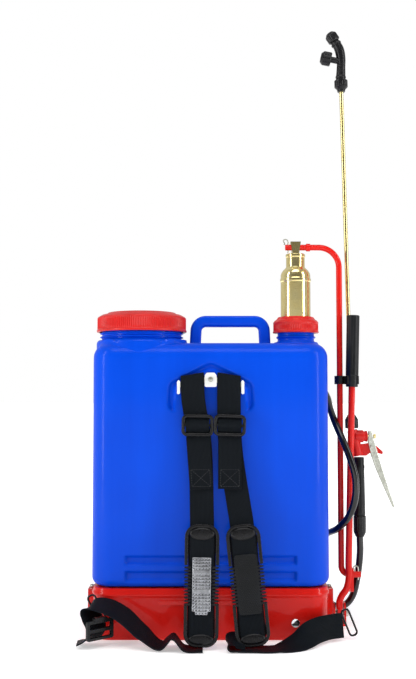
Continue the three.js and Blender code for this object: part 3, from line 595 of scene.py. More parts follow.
def cut_from(piece, *shapes):
    """Takes shapes away from a piece's mesh."""
    for shape in shapes:
        tool = bpy.data.objects.new("cutter", make_mesh("cutter", shape))
        bpy.context.scene.collection.objects.link(tool)
        cutting = piece.modifiers.new("cut", "BOOLEAN")
        cutting.operation = "DIFFERENCE"
        cutting.solver = "EXACT"
        cutting.object = tool
        bpy.context.view_layer.update()
        graph = bpy.context.evaluated_depsgraph_get()
        result = bpy.data.meshes.new_from_object(piece.evaluated_get(graph))
        piece.modifiers.remove(cutting)
        old = piece.data
        piece.data = result
        bpy.data.meshes.remove(old)
        bpy.data.objects.remove(tool)
    return smooth(piece)


# ---- hose ---------------------------------------------------------------------------------

HOSE_ROUTE = [
    (PUMP_X, 108, OUTLET_Z + 27), (PUMP_X, 108, 232), (135, 109, 266), (117, 111, 302), (104, 112, 334),
    (102, 113, 364), (109, 113, 390), (128, 113, 408), (153, 112, 414.5), (178, 104, 408), (195.5, 84, 395),
    (203, 57, 379), (204, 27, 360), (208, -2, 338), (217, -22, 311), (228, -33, 280), (236, -36, 247),
    (235, -35, 213), (226, -25, 184), (212, -5, 163), (204, 27, 152), (201, 61, 143), (193.5, 90, 127),
    (187.5, 104, 101), (187, 104, 71), (190.5, 97, 46), (200, 82, 28.5), (214.5, 61.5, 21), (229, 41, 27.5),
    (239.5, 26.5, 46), (246, 18, 77), (HANDLE_X, LANCE_Y, 118), (HANDLE_X, LANCE_Y, 145.6),
]


def line_length(line):
    return sum((b - a).length for a, b in zip(line, line[1:]))


def make_hose():
    line = spline(HOSE_ROUTE, 12)
    curve = bpy.data.curves.new("delivery_hose", "CURVE")
    curve.dimensions = "3D"
    curve.bevel_depth = HOSE_RADIUS * MM
    curve.bevel_resolution = 6
    run = curve.splines.new("POLY")
    run.points.add(len(line) - 1)
    for point, place in zip(run.points, line):
        point.co = (*(place * MM), 1)
    run.use_smooth = True
    hose = link_piece("delivery_hose", curve, ["hose"])


make_hose()


# ---- tank ---------------------------------------------------------------------------------


def rounded_ring(half_x, half_y, corner, z, across=1, along=1, steps=8):
    """A rounded rectangle in plan, with its long sides and its ends in that many steps."""
    a, b = half_x - corner, half_y - corner
    sides = [
        ((-a, -half_y), (a, -half_y), across, (a, -b), -90),
        ((half_x, -b), (half_x, b), along, (a, b), 0),
        ((a, half_y), (-a, half_y), across, (-a, b), 90),
        ((-half_x, b), (-half_x, -b), along, (-a, -b), 180),
    ]
    ring = []
    for start, end, count, centre, angle in sides:
        for i in range(count):
            share = i / count
            ring.append(Vector((
                start[0] + share * (end[0] - start[0]), start[1] + share * (end[1] - start[1]), z,
            )))
        for k in range(steps):
            turn = math.radians(angle + 90 * k / steps)
            ring.append(Vector((centre[0] + corner * math.cos(turn), centre[1] + corner * math.sin(turn), z)))
    return ring


def ease(value, low, high):
    """0 below low, 1 above high, and a smooth rise between them."""
    share = min(1.0, max(0.0, (value - low) / (high - low)))
    return share * share * (3 - 2 * share)


def depth_in(x, z, outline):
    """How far (x, z) lies inside a convex outline given anticlockwise; negative outside."""
    nearest = math.inf
    for (ax, az), (bx, bz) in zip(outline, outline[1:] + outline[:1]):
        length = math.hypot(bx - ax, bz - az)
        nearest = min(nearest, ((bx - ax) * (z - az) - (bz - az) * (x - ax)) / length)
    return nearest


PANEL_OUTER = eased([(-68, 356), (68, 356), (66, 402), (0, 436), (-66, 402)], 14, closed=True)
PANEL_INNER = eased([(-58, 348), (58, 348), (56.5, 396), (0, 424.5), (-56.5, 396)], 10, closed=True)
GROOVES = [
    [(-135, low), (135, low), (135, high), (-135, high)] for low, high in ((91, 107), (117, 131))
]
PRESS_DEPTH = 5.0


def pressed(x, z):
    """How far the harness side is pressed in at (x, z)."""
    depth = 0.0
    for outline in GROOVES:
        depth = max(depth, ease(depth_in(x, z, outline), -1, 3.5))
    panel = ease(depth_in(x, z, PANEL_OUTER), -1, 3) * (1 - ease(depth_in(x, z, PANEL_INNER), -3, 1))
    return PRESS_DEPTH * max(depth, panel)


def tank_levels():
    """Height and inset of each ring of the tank's shell, from its underside to the middle of its top."""
    levels = [(TANK_LOW.z, 60), (TANK_LOW.z, 30)]
    for i in range(9):
        turn = math.pi / 2 * i / 8
        levels.append((
            TANK_LOW.z + TANK_FOOT_ROUND * (1 - math.cos(turn)), TANK_FOOT_ROUND * (1 - math.sin(turn)),
        ))
    z = TANK_LOW.z + TANK_FOOT_ROUND
    edge = TANK_SHOULDER - TANK_TOP_ROUND
    while z < edge - 2:
        z += 1.4 if z < 136 or 344 < z < 442 else 6
        levels.append((min(z, edge), 0))
    for i in range(1, 13):
        turn = math.pi / 2 * i / 12
        levels.append((edge + TANK_TOP_ROUND * math.sin(turn), TANK_TOP_ROUND * (1 - math.cos(turn))))
    for inset in (30, 38, 46, 54, 62, 70, 78, 84):
        levels.append((TANK_SHOULDER, inset))
    return levels


def tank_walls():
    rings = []
    for z, inset in tank_levels():
        corner = max(TANK_CORNER - inset, 0.8)
        ring = rounded_ring(TANK_HIGH.x - inset, -FRONT - inset, corner, z, 130, 20, 10)
        for point in ring:
            if inset < 2 and point.y < FRONT + 1:
                point.y += pressed(point.x, point.z)
        rings.append(ring)
    return loft(rings)


def opened_at_neck(shape):
    """Leaves out the faces of the tank's top that lie inside the filler neck."""
    points, faces = shape
    kept = []
    for face in faces:
        middle = sum((points[i] for i in face), Vector()) / len(face)
        inside = math.hypot(middle.x - CAP_X, middle.y - CAP_Y) < (NECK_BORE + BOSS_RADIUS) / 2
        if not (inside and middle.z > TANK_SHOULDER - 30):
            kept.append(face)
    return points, kept


def tank_top_at(x, y):
    """Height of the tank's rounded top over a plan position, and how far inside its edge that is."""
    a, b = TANK_HIGH.x - TANK_CORNER, -FRONT - TANK_CORNER
    dx, dy = max(abs(x) - a, 0), max(abs(y) - b, 0)
    inside = TANK_CORNER - math.hypot(dx, dy) if dx and dy else min(TANK_HIGH.x - abs(x), -FRONT - abs(y))
    inside = max(inside, 0.0)
    if inside >= TANK_TOP_ROUND:
        return TANK_SHOULDER, inside
    drop = TANK_TOP_ROUND - inside
    return TANK_SHOULDER - TANK_TOP_ROUND + math.sqrt(TANK_TOP_ROUND**2 - drop**2), inside


def boss_walls(x, y, radius, top, fillet, sides=160):
    """A round boss on the tank's top, blended into it by a fillet."""
    rings = [[] for _ in range(12)]
    for i in range(sides):
        angle = TURN * i / sides
        way = Vector((math.cos(angle), math.sin(angle), 0))
        foot = Vector((x, y, 0)) + way * radius
        height, inside = tank_top_at(foot.x, foot.y)
        spread = fillet * ease(inside, 4, 16)
        for k in range(8):
            turn = math.pi / 2 * k / 7
            out = spread * (1 - math.sin(turn))
            place = foot + way * out
            ground, _ = tank_top_at(place.x, place.y)
            rings[k].append(Vector((place.x, place.y, ground - 0.5 + (spread + 0.5) * (1 - math.cos(turn)))))
        for k, (inset, drop) in enumerate(((0, 7), (0.6, 4), (2.8, 1), (7, 0))):
            rings[8 + k].append(foot - way * inset + Vector((0, 0, top - drop)))
    return loft(rings, caps=False)


def filler_neck():
    """The threaded neck round the filler mouth, with the boss's flat top."""
    thread = []
    for z in (478.5, 484.5, 491, 497):
        thread += [(NECK_RADIUS, z - 2), (NECK_RADIUS + 3.4, z - 0.6), (NECK_RADIUS + 3.4, z + 0.6), (NECK_RADIUS, z + 2)]
    profile = [
        (BOSS_RADIUS - 7, BOSS_TOP), (NECK_RADIUS + 1.5, BOSS_TOP), (NECK_RADIUS, BOSS_TOP + 1.5), *thread,
        (NECK_RADIUS, TANK_HIGH.z - 1), (NECK_RADIUS - 1, TANK_HIGH.z), (NECK_BORE + 1, TANK_HIGH.z),
        (NECK_BORE, TANK_HIGH.z - 1), (NECK_BORE, 440),
    ]
    points, faces = turned(profile, 128)
    return shifted((points, faces[:-2]), CAP_X, CAP_Y)


def pump_neck():
    profile = [
        (PUMP_NECK + 12, 462), (PUMP_NECK + 7, 468.5), (PUMP_NECK + 5.5, 471), (PUMP_NECK + 1, 472),
        (PUMP_NECK, 474), (PUMP_NECK, 477), (PUMP_NECK + 2.4, 478.5), (PUMP_NECK + 2.4, 480),
        (PUMP_NECK, 481.5), (PUMP_NECK, TANK_HIGH.z - 1), (PUMP_NECK - 1, TANK_HIGH.z),
    ]
    return shifted(turned(eased(profile, 1.2), 96), PUMP_X, PUMP_Y)


def make_tank():
    shell = opened_at_neck(tank_walls())
    boss = boss_walls(CAP_X, CAP_Y, BOSS_RADIUS, BOSS_TOP, 7)
    build("tank_shell", joined(shell, boss, filler_neck(), pump_neck()), "tank", angle=50)


def make_carry_handle():
    low, high = node_box("carry_handle")
    left, right, top, foot = low.x + 14.5, high.x - 14.5, high.z - 9.5, low.z - 1
    y = (low.y + high.y) / 2
    corners = [(left - 1, y, foot), (left + 1, y, top), (right - 1, y, top), (right + 1, y, foot)]
    path = [corners[0], Vector(corners[0]) + Vector((0.1, 0, 3)), Vector(corners[0]) + Vector((0.3, 0, 8))]
    path += bent([path[-1], *corners[1:3], Vector(corners[3]) + Vector((-0.3, 0, 8))], 17, 10)[1:]
    path += [Vector(corners[3]) + Vector((-0.1, 0, 3)), corners[3]]

    def flare(share):
        return 1 + 0.35 * max(0.0, 1 - min(share, 1 - share) * 30)

    section = rounded_box(9.4, 9.8, 5, 5)
    build("carry_handle_arch", swept(path, section, size=flare), "carry_handle", angle=60)


make_tank()
make_carry_handle()


# ---- filler cap ---------------------------------------------------------------------------


def make_filler_cap():
    low, high, radius = CAP_LOW.z, CAP_HIGH.z, BOSS_RADIUS
    outside = eased([
        (NECK_RADIUS + 5, low), (radius, low), (radius, low + 3), (radius - 1, low + 4.5),
        (radius - 1, high - 10), (radius - 2, high - 8), (radius - 8, high - 4.5), (radius - 17, high - 2),
        (radius - 19, high - 0.2), (14, high), (11, high - 1.4), (9, high - 1.5),
    ], 1.1)
    inside = [(9, high - 4), (NECK_RADIUS, high - 4), (NECK_RADIUS + 4.2, high - 9)]

    def ribs(angle, r, z):
        grip = ease(z, low + 4, low + 6) * (1 - ease(z, high - 11, high - 9)) * ease(r, radius - 3, radius - 2)
        return r - 0.9 * grip * (0.5 + 0.5 * math.cos(angle * 132))

    side_steps = []
    for (r0, z0), (r1, z1) in zip(outside, outside[1:]):
        side_steps.append((r0, z0))
        if abs(z1 - z0) > 6:
            side_steps += [(r0 + (r1 - r0) * k / 8, z0 + (z1 - z0) * k / 8) for k in range(1, 8)]
    profile = [*side_steps, outside[-1], *inside]
    build(
        "filler_cap_lid", shifted(turned(profile, 792, ribs, closed=True), CAP_X, CAP_Y), "filler_cap",
    )


def make_cap_vent():
    low, high = node_box("cap_vent")
    profile = eased([(0, low.z), (9.2, low.z), (7, low.z + 1.2), (6.6, high.z - 1), (5.4, high.z), (2.2, high.z),
                     (1.6, high.z - 0.8), (0, high.z - 0.8)], 0.4)
    build("cap_vent_nub", shifted(turned(profile, 48), CAP_X, CAP_Y), "cap_vent")


def make_cap_gasket():
    low, high = node_box("cap_gasket")
    profile = eased(
        [(NECK_BORE, low.z), (NECK_RADIUS, low.z), (NECK_RADIUS, high.z), (NECK_BORE, high.z)], 0.8, closed=True,
    )
    build("cap_gasket_ring", shifted(turned(profile, 96, closed=True), CAP_X, CAP_Y), "cap_gasket")


make_filler_cap()
make_cap_vent()
make_cap_gasket()


# ---- base ---------------------------------------------------------------------------------

BASE_HALF_X = 187
BASE_HALF_Y = 84
BASE_CORNER = 30
BASE_HIGH = 80


def make_base():
    outside = [(-4, 0), (-2.2, 0.5), (-0.8, 2), (0, 5), (0, 65), (0.7, 67), (1.8, 68.6), (2, 70.2), (1.8, 71.8),
               (0.7, 73.6), (0, 75.4), (0, 78.4), (-0.5, 79.5), (-1.6, 80)]
    inside = [(-14, 80), (-14, 78), (-2.4, 78), (-2.4, 0.4)]
    rings = [
        rounded_ring(BASE_HALF_X + out, BASE_HALF_Y + out, BASE_CORNER + out, z, 40, 16, 12)
        for out, z in outside + inside
    ]
    skirt = loft(rings, wrap=True)
    rib = moved(plate([rounded_box(82, 3, 2.9, 6)], 3.2), Matrix.Translation((0, -BASE_HALF_Y - 0.2, 58)) @ ALONG_Y)
    build("base_shell", joined(skirt, rib), "base_skirt", edge=0.9)


def make_base_bolt():
    low, high = node_box("base_bolt")
    centre = ((low.x + high.x) / 2, high.y, (low.z + high.z) / 2)
    washer = turned(eased([(0, 0), (6.5, 0), (6.5, 1.1), (0, 1.1)], 0.3), 48)
    head = turned([(0, 0.8), (5, 0.8), (5.1, 2), (4.6, 3.2), (3.4, 4.1), (1.8, 4.5), (0, 4.6)], 48)
    bolt = build("base_bolt_head", moved(joined(washer, head), aimed((0, -1, 0), centre)), "base_bolt")
    across = moved(block((5.6, 1.3, 3), 0.3), aimed((0, -1, 0), (centre[0], low.y + 0.4, centre[2])))
    upright = moved(block((1.3, 5.6, 3), 0.3), aimed((0, -1, 0), (centre[0], low.y + 0.4, centre[2])))
    cut_from(bolt, across, upright)


def threaded(radius, low, high, pitch=1.25, depth=0.45):
    """A threaded rod's profile."""
    profile = [(0, low), (radius - depth, low)]
    z = low
    while z < high - pitch:
        profile += [(radius, z + pitch * 0.4), (radius - depth, z + pitch)]
        z += pitch
    return [*profile, (radius - depth, high), (0, high)]


def make_tie_screw(side, x):
    node = f"tie_screw_{side}"
    low, high = node_box(node)
    shank = turned(threaded(2.2, low.z, high.z - 3), 24)
    head = turned(eased([(0, high.z - 3.6), (5, high.z - 3.6), (5, high.z - 1), (3.6, high.z), (0, high.z)], 0.6), 32)
    screw = build(f"{node}_bolt", shifted(joined(shank, head), x, 0), node)
    cut_from(screw, shifted(block((1.2, 11, 2), 0.2), x, 0, high.z))


make_base()
make_base_bolt()
for side_name, sign in (("left", -1), ("right", 1)):
    make_tie_screw(side_name, sign * (BASE_HALF_X + 8))


# ---- lever and pump rod -------------------------------------------------------------------


def lever_at(z):
    share = (z - 110) / (LEVER_TOP - 110)
    return Vector((227.6 + share * 10.8, LEVER_Y, z))


def make_lever():
    foot = [(212, LEVER_Y, 33), (212, LEVER_Y, 44), (216, LEVER_Y, 54), (223, LEVER_Y, 64), (227, LEVER_Y, 78)]
    stem = swept(spline([*foot, lever_at(110), lever_at(200), lever_at(350), lever_at(LEVER_TOP)], 8), circle(LEVER_RADIUS))
    outline = bent([
        (-18, 38), (-9, 14), (-5, 11.5), (5, 11.5), (11, 17), (13, 24), (11, 31), (4, 37), (-6, 47), (-18, 47),
    ], 3.5, closed=True)
    eye = moved(plate([outline, ring_of(0, PIVOT_Z, 4.45)], 6.8), Matrix.Translation((212, 0, 0)) @ ALONG_X)
    edge = bent([(-14, 60), (6, 57), (11, 62), (11, 92), (6, 97), (-14, 97)], 4, closed=True)
    reach = SLOT_HALF
    slot = bent([
        (-reach, LOWER_PIN - SLOT_TRAVEL - reach), (reach, LOWER_PIN - SLOT_TRAVEL - reach),
        (reach, LOWER_PIN + reach), (-reach, LOWER_PIN + reach),
    ], reach, closed=True)
    slotted = moved(plate([edge, slot], 6), Matrix.Translation((232.5, 0, 0)) @ ALONG_X)
    build("lever_stem", joined(stem, eye, slotted), "lever_tube", edge=0.7)


def along(low, high, profile, sides=48, wave=None):
    """A turned shape on the line from low to high; profile heights are measured from low."""
    return moved(turned(profile, sides, wave), aimed(high - low, low))


def make_lever_grip():
    low, high = lever_at(GRIP_LOW), lever_at(LEVER_TOP + 4)
    length = (high - low).length
    profile = eased([
        (5.9, 0), (9.4, 0), (10, 1), (10, 18), (10.7, 20), (10.7, length - 1.5), (9.6, length), (0, length),
    ], 0.8)
    rows = []
    for (r0, z0), (r1, z1) in zip(profile, profile[1:]):
        rows.append((r0, z0))
        if z1 - z0 > 20:
            rows += [(r0, z0 + (z1 - z0) * k / 10) for k in range(1, 10)]
    rows.append(profile[-1])

    def flutes(angle, r, z):
        grip = ease(z, 20, 23) * (1 - ease(z, length - 4, length - 1))
        return r - 0.8 * grip * max(0.0, math.cos(angle * 8)) ** 2

    build("lever_grip_sleeve", along(low, high, rows, 80, flutes), "lever_grip")


def make_connecting_rod():
    path = bent(
        [(127, 0, YOKE_PIN), (ROD_X, 0, YOKE_PIN), (ROD_X, 0, LOWER_PIN), (249, 0, LOWER_PIN)], [34, 14], 16,
    )
    rod = swept(path, circle(ROD_RADIUS))
    ends = [
        moved(turned(eased([(0, 0), (ROD_RADIUS - 0.2, 0), (ROD_RADIUS - 0.2, 0.6), (0, 1)], 0.4), 24), aimed(way, place))
        for way, place in (((-1, 0, 0), (127, 0, YOKE_PIN)), ((1, 0, 0), (249, 0, LOWER_PIN)))
    ]
    swell = moved(
        turned(eased([(0, -4), (5, -4), (6.6, -3), (6.6, 3), (5, 4), (0, 4)], 0.8), 32), aimed((1, 0, 0), (165, 0, YOKE_PIN)),
    )
    build("pump_rod_tube", joined(rod, *ends[:1], swell), "connecting_rod")


def make_clip_pin(node, x, z):
    path = spline([
        (x, 0, z - 9), (x, 0, z), (x, 0, z + 9), (x - 1.2, 0, z + 12.4), (x - 4, 0, z + 14), (x - 7, 0, z + 12.6),
        (x - 7.4, 0, z + 9.6), (x - 5.6, 0, z + 8), (x - 5.4, 0, z + 6.4), (x - 6.6, 0, z + 4.8),
    ], 6)
    build(f"{node}_wire", swept(path, circle(1.1, 12)), node)


def make_pivot_bolt():
    low, high = node_box("pivot_bolt")
    start = high.x - 5
    head = moved(plate([circle(7, 6)], 5), Matrix.Translation((start + 2.5, 0, PIVOT_Z)) @ ALONG_X)
    shank = moved(turned([(0, 0), (4.1, 0), (4.1, start - low.x), (0, start - low.x)], 32), aimed((1, 0, 0), (low.x, 0, PIVOT_Z)))
    build("pivot_bolt_hex", joined(head, shank), "pivot_bolt", edge=0.5)


make_lever()
make_lever_grip()
make_connecting_rod()
make_clip_pin("upper_clip_pin", 131, YOKE_PIN)
make_clip_pin("lower_clip_pin", 245, LOWER_PIN)
make_pivot_bolt()


# ---- pump ---------------------------------------------------------------------------------


def make_collar():
    low, high = node_box("pump_collar")
    outside = eased([
        (31.2, low.z), (38.5, low.z), (38.5, low.z + 2.5), (37.7, low.z + 3.5), (37.7, 502.5), (38.2, 504), (35.6, 507.5),
        (33, 509), (29.5, 513.6), (25.8, high.z),
    ], 0.8)
    inside = [(25.8, 510), (31.2, 510)]
    rows = []
    for (r0, z0), (r1, z1) in zip(outside, outside[1:]):
        rows.append((r0, z0))
        if z1 - z0 > 5:
            rows += [(r0, z0 + (z1 - z0) * k / 6) for k in range(1, 6)]

    def shape(angle, r, z):
        knurl = ease(z, low.z + 3.4, low.z + 5) * (1 - ease(z, 501, 502.5)) * ease(r, 36, 37)
        lobes = ease(z, 503, 507) * ease(r, 27, 30)
        return r - 0.7 * knurl * (0.5 + 0.5 * math.cos(angle * 72)) - 1.6 * lobes * abs(math.sin(angle * 4)) ** 6

    profile = [*rows, outside[-1], *inside]
    build("pump_collar_nut", shifted(turned(profile, 432, shape, closed=True), PUMP_X, PUMP_Y), "pump_collar")


def make_chamber():
    low, high = node_box("pressure_chamber")
    outside = eased([
        (25, low.z), (25, 572.6), (25.9, 573.8), (25.9, 578), (25, 579.4), (25, 584), (24, 588), (21.4, 592.4),
        (17.6, 596), (15.9, 598.2), (15.7, 601), (15.7, high.z - 6), (16.4, high.z - 5), (16.4, high.z - 1), (15.4, high.z),
    ], 1.2, 3)
    profile = [(0, low.z), *outside, (0, high.z)]
    build("pressure_chamber_tube", shifted(turned(profile, 128), PUMP_X, PUMP_Y), "pressure_chamber")


def make_outlet():
    path = bent([(PUMP_X, 62.4, OUTLET_Z), (PUMP_X, 108, OUTLET_Z), (PUMP_X, 108, OUTLET_Z + 26)], 9, 10)
    pipe = swept(path, circle(7.6))
    flange = moved(plate([circle(13, 6)], 6.6), Matrix.Translation((PUMP_X, 88.7, OUTLET_Z)) @ ALONG_Y)
    barbs = []
    for z in (OUTLET_Z + 14, OUTLET_Z + 19, OUTLET_Z + 24):
        barbs.append(shifted(turned([(0, z - 2), (8.3, z - 2), (7.2, z + 2), (0, z + 2)], 32), PUMP_X, 108))
    build("outlet_elbow_fitting", joined(pipe, flange, *barbs), "outlet_elbow", edge=0.5)


make_collar()
make_chamber()
make_outlet()


# ---- lance, shut-off valve and nozzles ----------------------------------------------------


def lance_at(z):
    share = (z - LANCE_LOW.z) / (LANCE_HIGH.z - LANCE_LOW.z)
    return LANCE_LOW.lerp(LANCE_HIGH, share)


LANCE_WAY = (LANCE_HIGH - LANCE_LOW).normalized()


def on_lance(profile, z, sides=64, wave=None):
    """A turned shape on the lance's line, its heights measured from z."""
    return moved(turned(profile, sides, wave), aimed(LANCE_WAY, lance_at(z)))


def ribbed(count, depth, low, high):
    """A wave that cuts count upright grip flutes between two heights."""

    def wave(angle, r, z):
        grip = ease(z, low, low + 1) * (1 - ease(z, high - 1, high))
        return r - depth * grip * (0.5 + 0.5 * math.cos(angle * count))

    return wave


def make_lance():
    tube = swept([lance_at(LANCE_LOW.z), lance_at(600), lance_at(914)], circle(LANCE_RADIUS, 32))
    build("lance_pipe", tube, "lance_tube")
    nut = eased([
        (3.8, -19), (10.6, -19), (11.2, -18), (11.2, -15), (11.2, -12), (11.2, -8), (11.2, -5), (10.6, -3.4), (6.8, 3), (6, 4), (3.8, 4),
    ], 0.5)
    build("lance_nut_grip", on_lance(nut, 346, 96, ribbed(16, 0.8, -17, -5)), "lance_nut")
    tip = eased([
        (3.8, -8), (6.2, -8), (6.6, -7), (7, -4), (10.2, -0.4), (11.4, 0.6), (11.4, 3), (11.4, 6), (11.4, 9), (11.4, 11.6),
        (10.6, 12.5), (3.8, 12.5),
    ], 0.5)
    build("tip_nut_grip", on_lance(tip, 912, 96, ribbed(14, 0.9, 1.4, 11.4)), "tip_nut")


def make_tip_head():
    stem_line = spline([
        (224.6, LANCE_Y, 925.4), (225.4, LANCE_Y, 945), (225.6, LANCE_Y, 962), (222.2, LANCE_Y, 980), (215.5, LANCE_Y, 992),
    ], 8)
    stem = swept(stem_line, circle(7.8, 32), size=lambda share: 1 + 0.05 * math.cos(share * 9))
    bands = [
        moved(turned(eased([(0, -2), (8.6, -2), (9, 0), (8.6, 2), (0, 2)], 0.5), 48), aimed(way, place))
        for way, place in (((0.03, 0, 1), (224.8, LANCE_Y, 930)), ((-0.5, 0, 0.85), (217.5, LANCE_Y, 988.4)))
    ]
    branch = swept([(224, LANCE_Y, 958), (216, LANCE_Y, 959.6), (208.4, LANCE_Y, 961.2)], circle(5.2, 32))
    build("tip_head_body", joined(stem, branch, *bands), "tip_head")


def make_nozzle(node, radius, length, place, direction):
    outside = eased([
        (radius - 3, 0), (radius - 1, 0), (radius, 1.6), (radius, 4), (radius, 8), (radius, length - 5.4),
        (radius - 0.6, length - 4), (radius - 3.4, length - 1), (radius - 4.4, length), (2.6, length), (1.4, length - 2),
    ], 0.5)
    profile = [*outside, (1.2, length - 5), (radius - 3, 3)]
    cap = turned(profile, 96, ribbed(18, 0.7, 2, length - 4), closed=True)
    build(f"{node}_shell", moved(cap, aimed(direction, place)), node)


def make_valve():
    barrel = along(Vector((249, LANCE_Y, 281)), Vector((239.3, LANCE_Y, 324)), eased([
        (0, 0), (8.2, 0), (8.8, 1.5), (8.8, 42), (8, 44), (0, 44),
    ], 1.2))
    housing = moved(turned(eased([
        (0, 0), (9, 0), (10.4, 2.4), (10.4, 15), (8.6, 16.4), (8.6, 19), (9.4, 20), (9.4, 22), (0, 22),
    ], 0.7), 64), aimed((1, 0, 0), (242, LANCE_Y, PLUNGER_Z)))
    outline = bent([
        (246, 281), (262, 281), (272, 288), (290, 283), (290, 288), (281, 296), (275, 301), (266, 302), (252, 300),
    ], 2.4, closed=True)
    arm = moved(plate([outline], 6.8), Matrix.Translation((0, LANCE_Y, 0)) @ ALONG_Y)
    build("valve_casting", joined(barrel, housing, arm), "valve_body", edge=0.7)
    low, high = node_box("valve_plunger")
    stem = turned(eased([(0, 0), (1.9, 0), (1.9, 26.5), (4, 26.8), (4, 30.2), (0, 30.5)], 0.4), 32)
    build("valve_plunger_pin", moved(stem, aimed((1, 0, 0), (low.x, LANCE_Y, PLUNGER_Z))), "valve_plunger")


def make_trigger():
    """A folded channel that tapers to its tip; its web faces away from the handle."""
    web = spline([(272, 0, 322), (274.4, 0, 312), (277.6, 0, 300), (286.5, 0, 268), (297, 0, 234), (309.6, 0, 196)], 6)
    lips = spline([(267.2, 0, 322), (266, 0, 312), (266.4, 0, 300), (275.5, 0, 268), (290, 0, 232), (306.8, 0, 194)], 6)
    rings = []
    for share, (outer, lip) in enumerate(zip(web, lips)):
        half = 5.6 - 1.8 * share / (len(web) - 1)
        inward = (lip - outer).normalized()
        back = outer + inward * min(1.5, (lip - outer).length * 0.45)
        section = [
            (lip, -half), (outer + inward * 1.6, -half), (outer + inward * 0.5, -half + 0.5), (outer, -half + 1.6),
            (outer, half - 1.6), (outer + inward * 0.5, half - 0.5), (outer + inward * 1.6, half), (lip, half),
            (lip, half - 1.3), (back, half - 1.5), (back, -half + 1.5), (lip, -half + 1.3),
        ]
        rings.append([Vector((place.x, LANCE_Y + side, place.z)) for place, side in section])
    channel = build("trigger_channel", loft(rings), "trigger")
    window = moved(block((30, 8, 26), 0.5), Matrix.Translation((277, LANCE_Y, 292.5)))
    stem = moved(turned([(0, 0), (3.7, 0), (3.7, 20), (0, 20)], 24), aimed((1, 0, 0), (260, LANCE_Y, PLUNGER_Z)))
    soften(cut_from(channel, window, stem), 0.25, 2, 50)
    low, high = node_box("trigger_rivet")
    length = high.y - low.y
    rivet = turned(eased([
        (0, 0), (2.4, 0), (3, 1.1), (1.45, 1.3), (1.45, length - 1.3), (3, length - 1.1), (2.4, length), (0, length),
    ], 0.3), 32)
    centre = (low + high) / 2
    build("trigger_rivet_pin", moved(rivet, aimed((0, 1, 0), (centre.x, low.y, centre.z))), "trigger_rivet")


def make_handle():
    low, high = node_box("handle_grip")
    rows = [(0, low.z), (9.2, low.z), (9.9, low.z + 1)]
    rows += [(10.2 - 1.2 * k / 16, low.z + 3 + (high.z - low.z - 24) * k / 16) for k in range(17)]
    rows += [(9.4, high.z - 18), (9.4, high.z - 14), (8.6, high.z - 12), (8.6, high.z - 1), (8, high.z), (0, high.z)]
    flutes = ribbed(12, 0.6, low.z + 8, high.z - 24)
    build("handle_grip_sleeve", shifted(turned(rows, 96, flutes), HANDLE_X - 0.4, LANCE_Y), "handle_grip")
    low, high = node_box("hose_nut")
    rows = eased([
        (0, low.z), (7, low.z), (7.8, low.z + 2), (10.2, low.z + 7), (10.4, low.z + 9), (10.5, low.z + 16),
        (10.5, high.z - 8), (10.6, high.z - 1), (10, high.z), (0, high.z),
    ], 0.6)
    build(
        "hose_nut_grip", shifted(turned(rows, 96, ribbed(16, 0.7, low.z + 9, high.z - 3)), HANDLE_X, LANCE_Y), "hose_nut",
    )


make_lance()
make_tip_head()
make_nozzle("nozzle_cap_top", 10.4, 17, (214.9, LANCE_Y, 993.3), (-0.56, 0, 0.83))
make_nozzle("nozzle_cap_side", 12, 18, (208, LANCE_Y, 961.3), (-0.98, 0, 0.2))
make_valve()
make_trigger()
make_handle()


# ---- harness hardware ---------------------------------------------------------------------


def make_hanger():
    bar = plate([bent([
        (-52, 394), (-48.5, 394), (-48.5, 395.5), (-9, 403), (9, 403), (48.5, 395.5), (48.5, 394), (52, 394),
        (53, 401), (49, 403.5), (9, 411), (-9, 411), (-49, 403.5), (-53, 401),
    ], 1.2, 3, closed=True)], 4.2)
    tips = [
        plate([[(side * point.x, point.y) for point in bent([
            (48.4, 386), (50.4, 384.5), (53, 385.5), (53, 404), (50.6, 407), (48.4, 405),
        ], 1, 3, closed=True)]], 10.4)
        for side in (-1, 1)
    ]
    tab = plate([bent([(-9.4, 396), (9.4, 396), (9.4, 414), (6, 418.5), (-6, 418.5), (-9.4, 414)], 2.5, 4, closed=True)], 11.6)
    shapes = [moved(bar, Matrix.Translation((0, HANGER_Y - 5.5, 0)) @ ALONG_Y)]
    shapes += [moved(shape, Matrix.Translation((0, HANGER_Y - 6.5, 0)) @ ALONG_Y) for shape in tips]
    shapes.append(moved(tab, Matrix.Translation((0, HANGER_Y - 6, 0)) @ ALONG_Y))
    build("strap_hanger_bar", joined(*shapes), "strap_hanger", edge=0.7)
    low, high = node_box("hanger_screw")
    screw = turned([(0, 0), (4, 0), (3.9, 0.8), (3.2, 1.8), (1.8, 2.3), (0, 2.4)], 32)
    piece = build("hanger_screw_head", moved(screw, aimed((0, -1, 0), (0, high.y, 408))), "hanger_screw")
    for size in ((5, 0.9, 2), (0.9, 5, 2)):
        cut_from(piece, moved(block(size, 0.2), aimed((0, -1, 0), (0, low.y, 408))))


def wire_frame(half_a, half_b, corner, thick):
    """A closed loop of round-cornered bar about the origin, in the XY plane."""
    corners = [(-half_a, -half_b, 0), (half_a, -half_b, 0), (half_a, half_b, 0), (-half_a, half_b, 0)]
    path = bent(corners, corner, 6, closed=True)
    return swept(path, rounded_box(thick / 2, thick / 2, thick * 0.42, 4), closed=True)


def toothed_bar(half, radius, teeth=16):
    """A gripping bar along X with a row of teeth."""

    def wave(angle, r, z):
        return r + 0.35 * math.sin(z * math.pi * teeth / half) * max(0.0, math.cos(angle))

    rows = [(radius, -half + 2 * half * k / 64) for k in range(65)]
    return moved(turned(rows, 24, wave), aimed((1, 0, 0), (0, 0, 0)))


BUCKLE_Z = 336
BUCKLE_Y = FRONT - 19.6


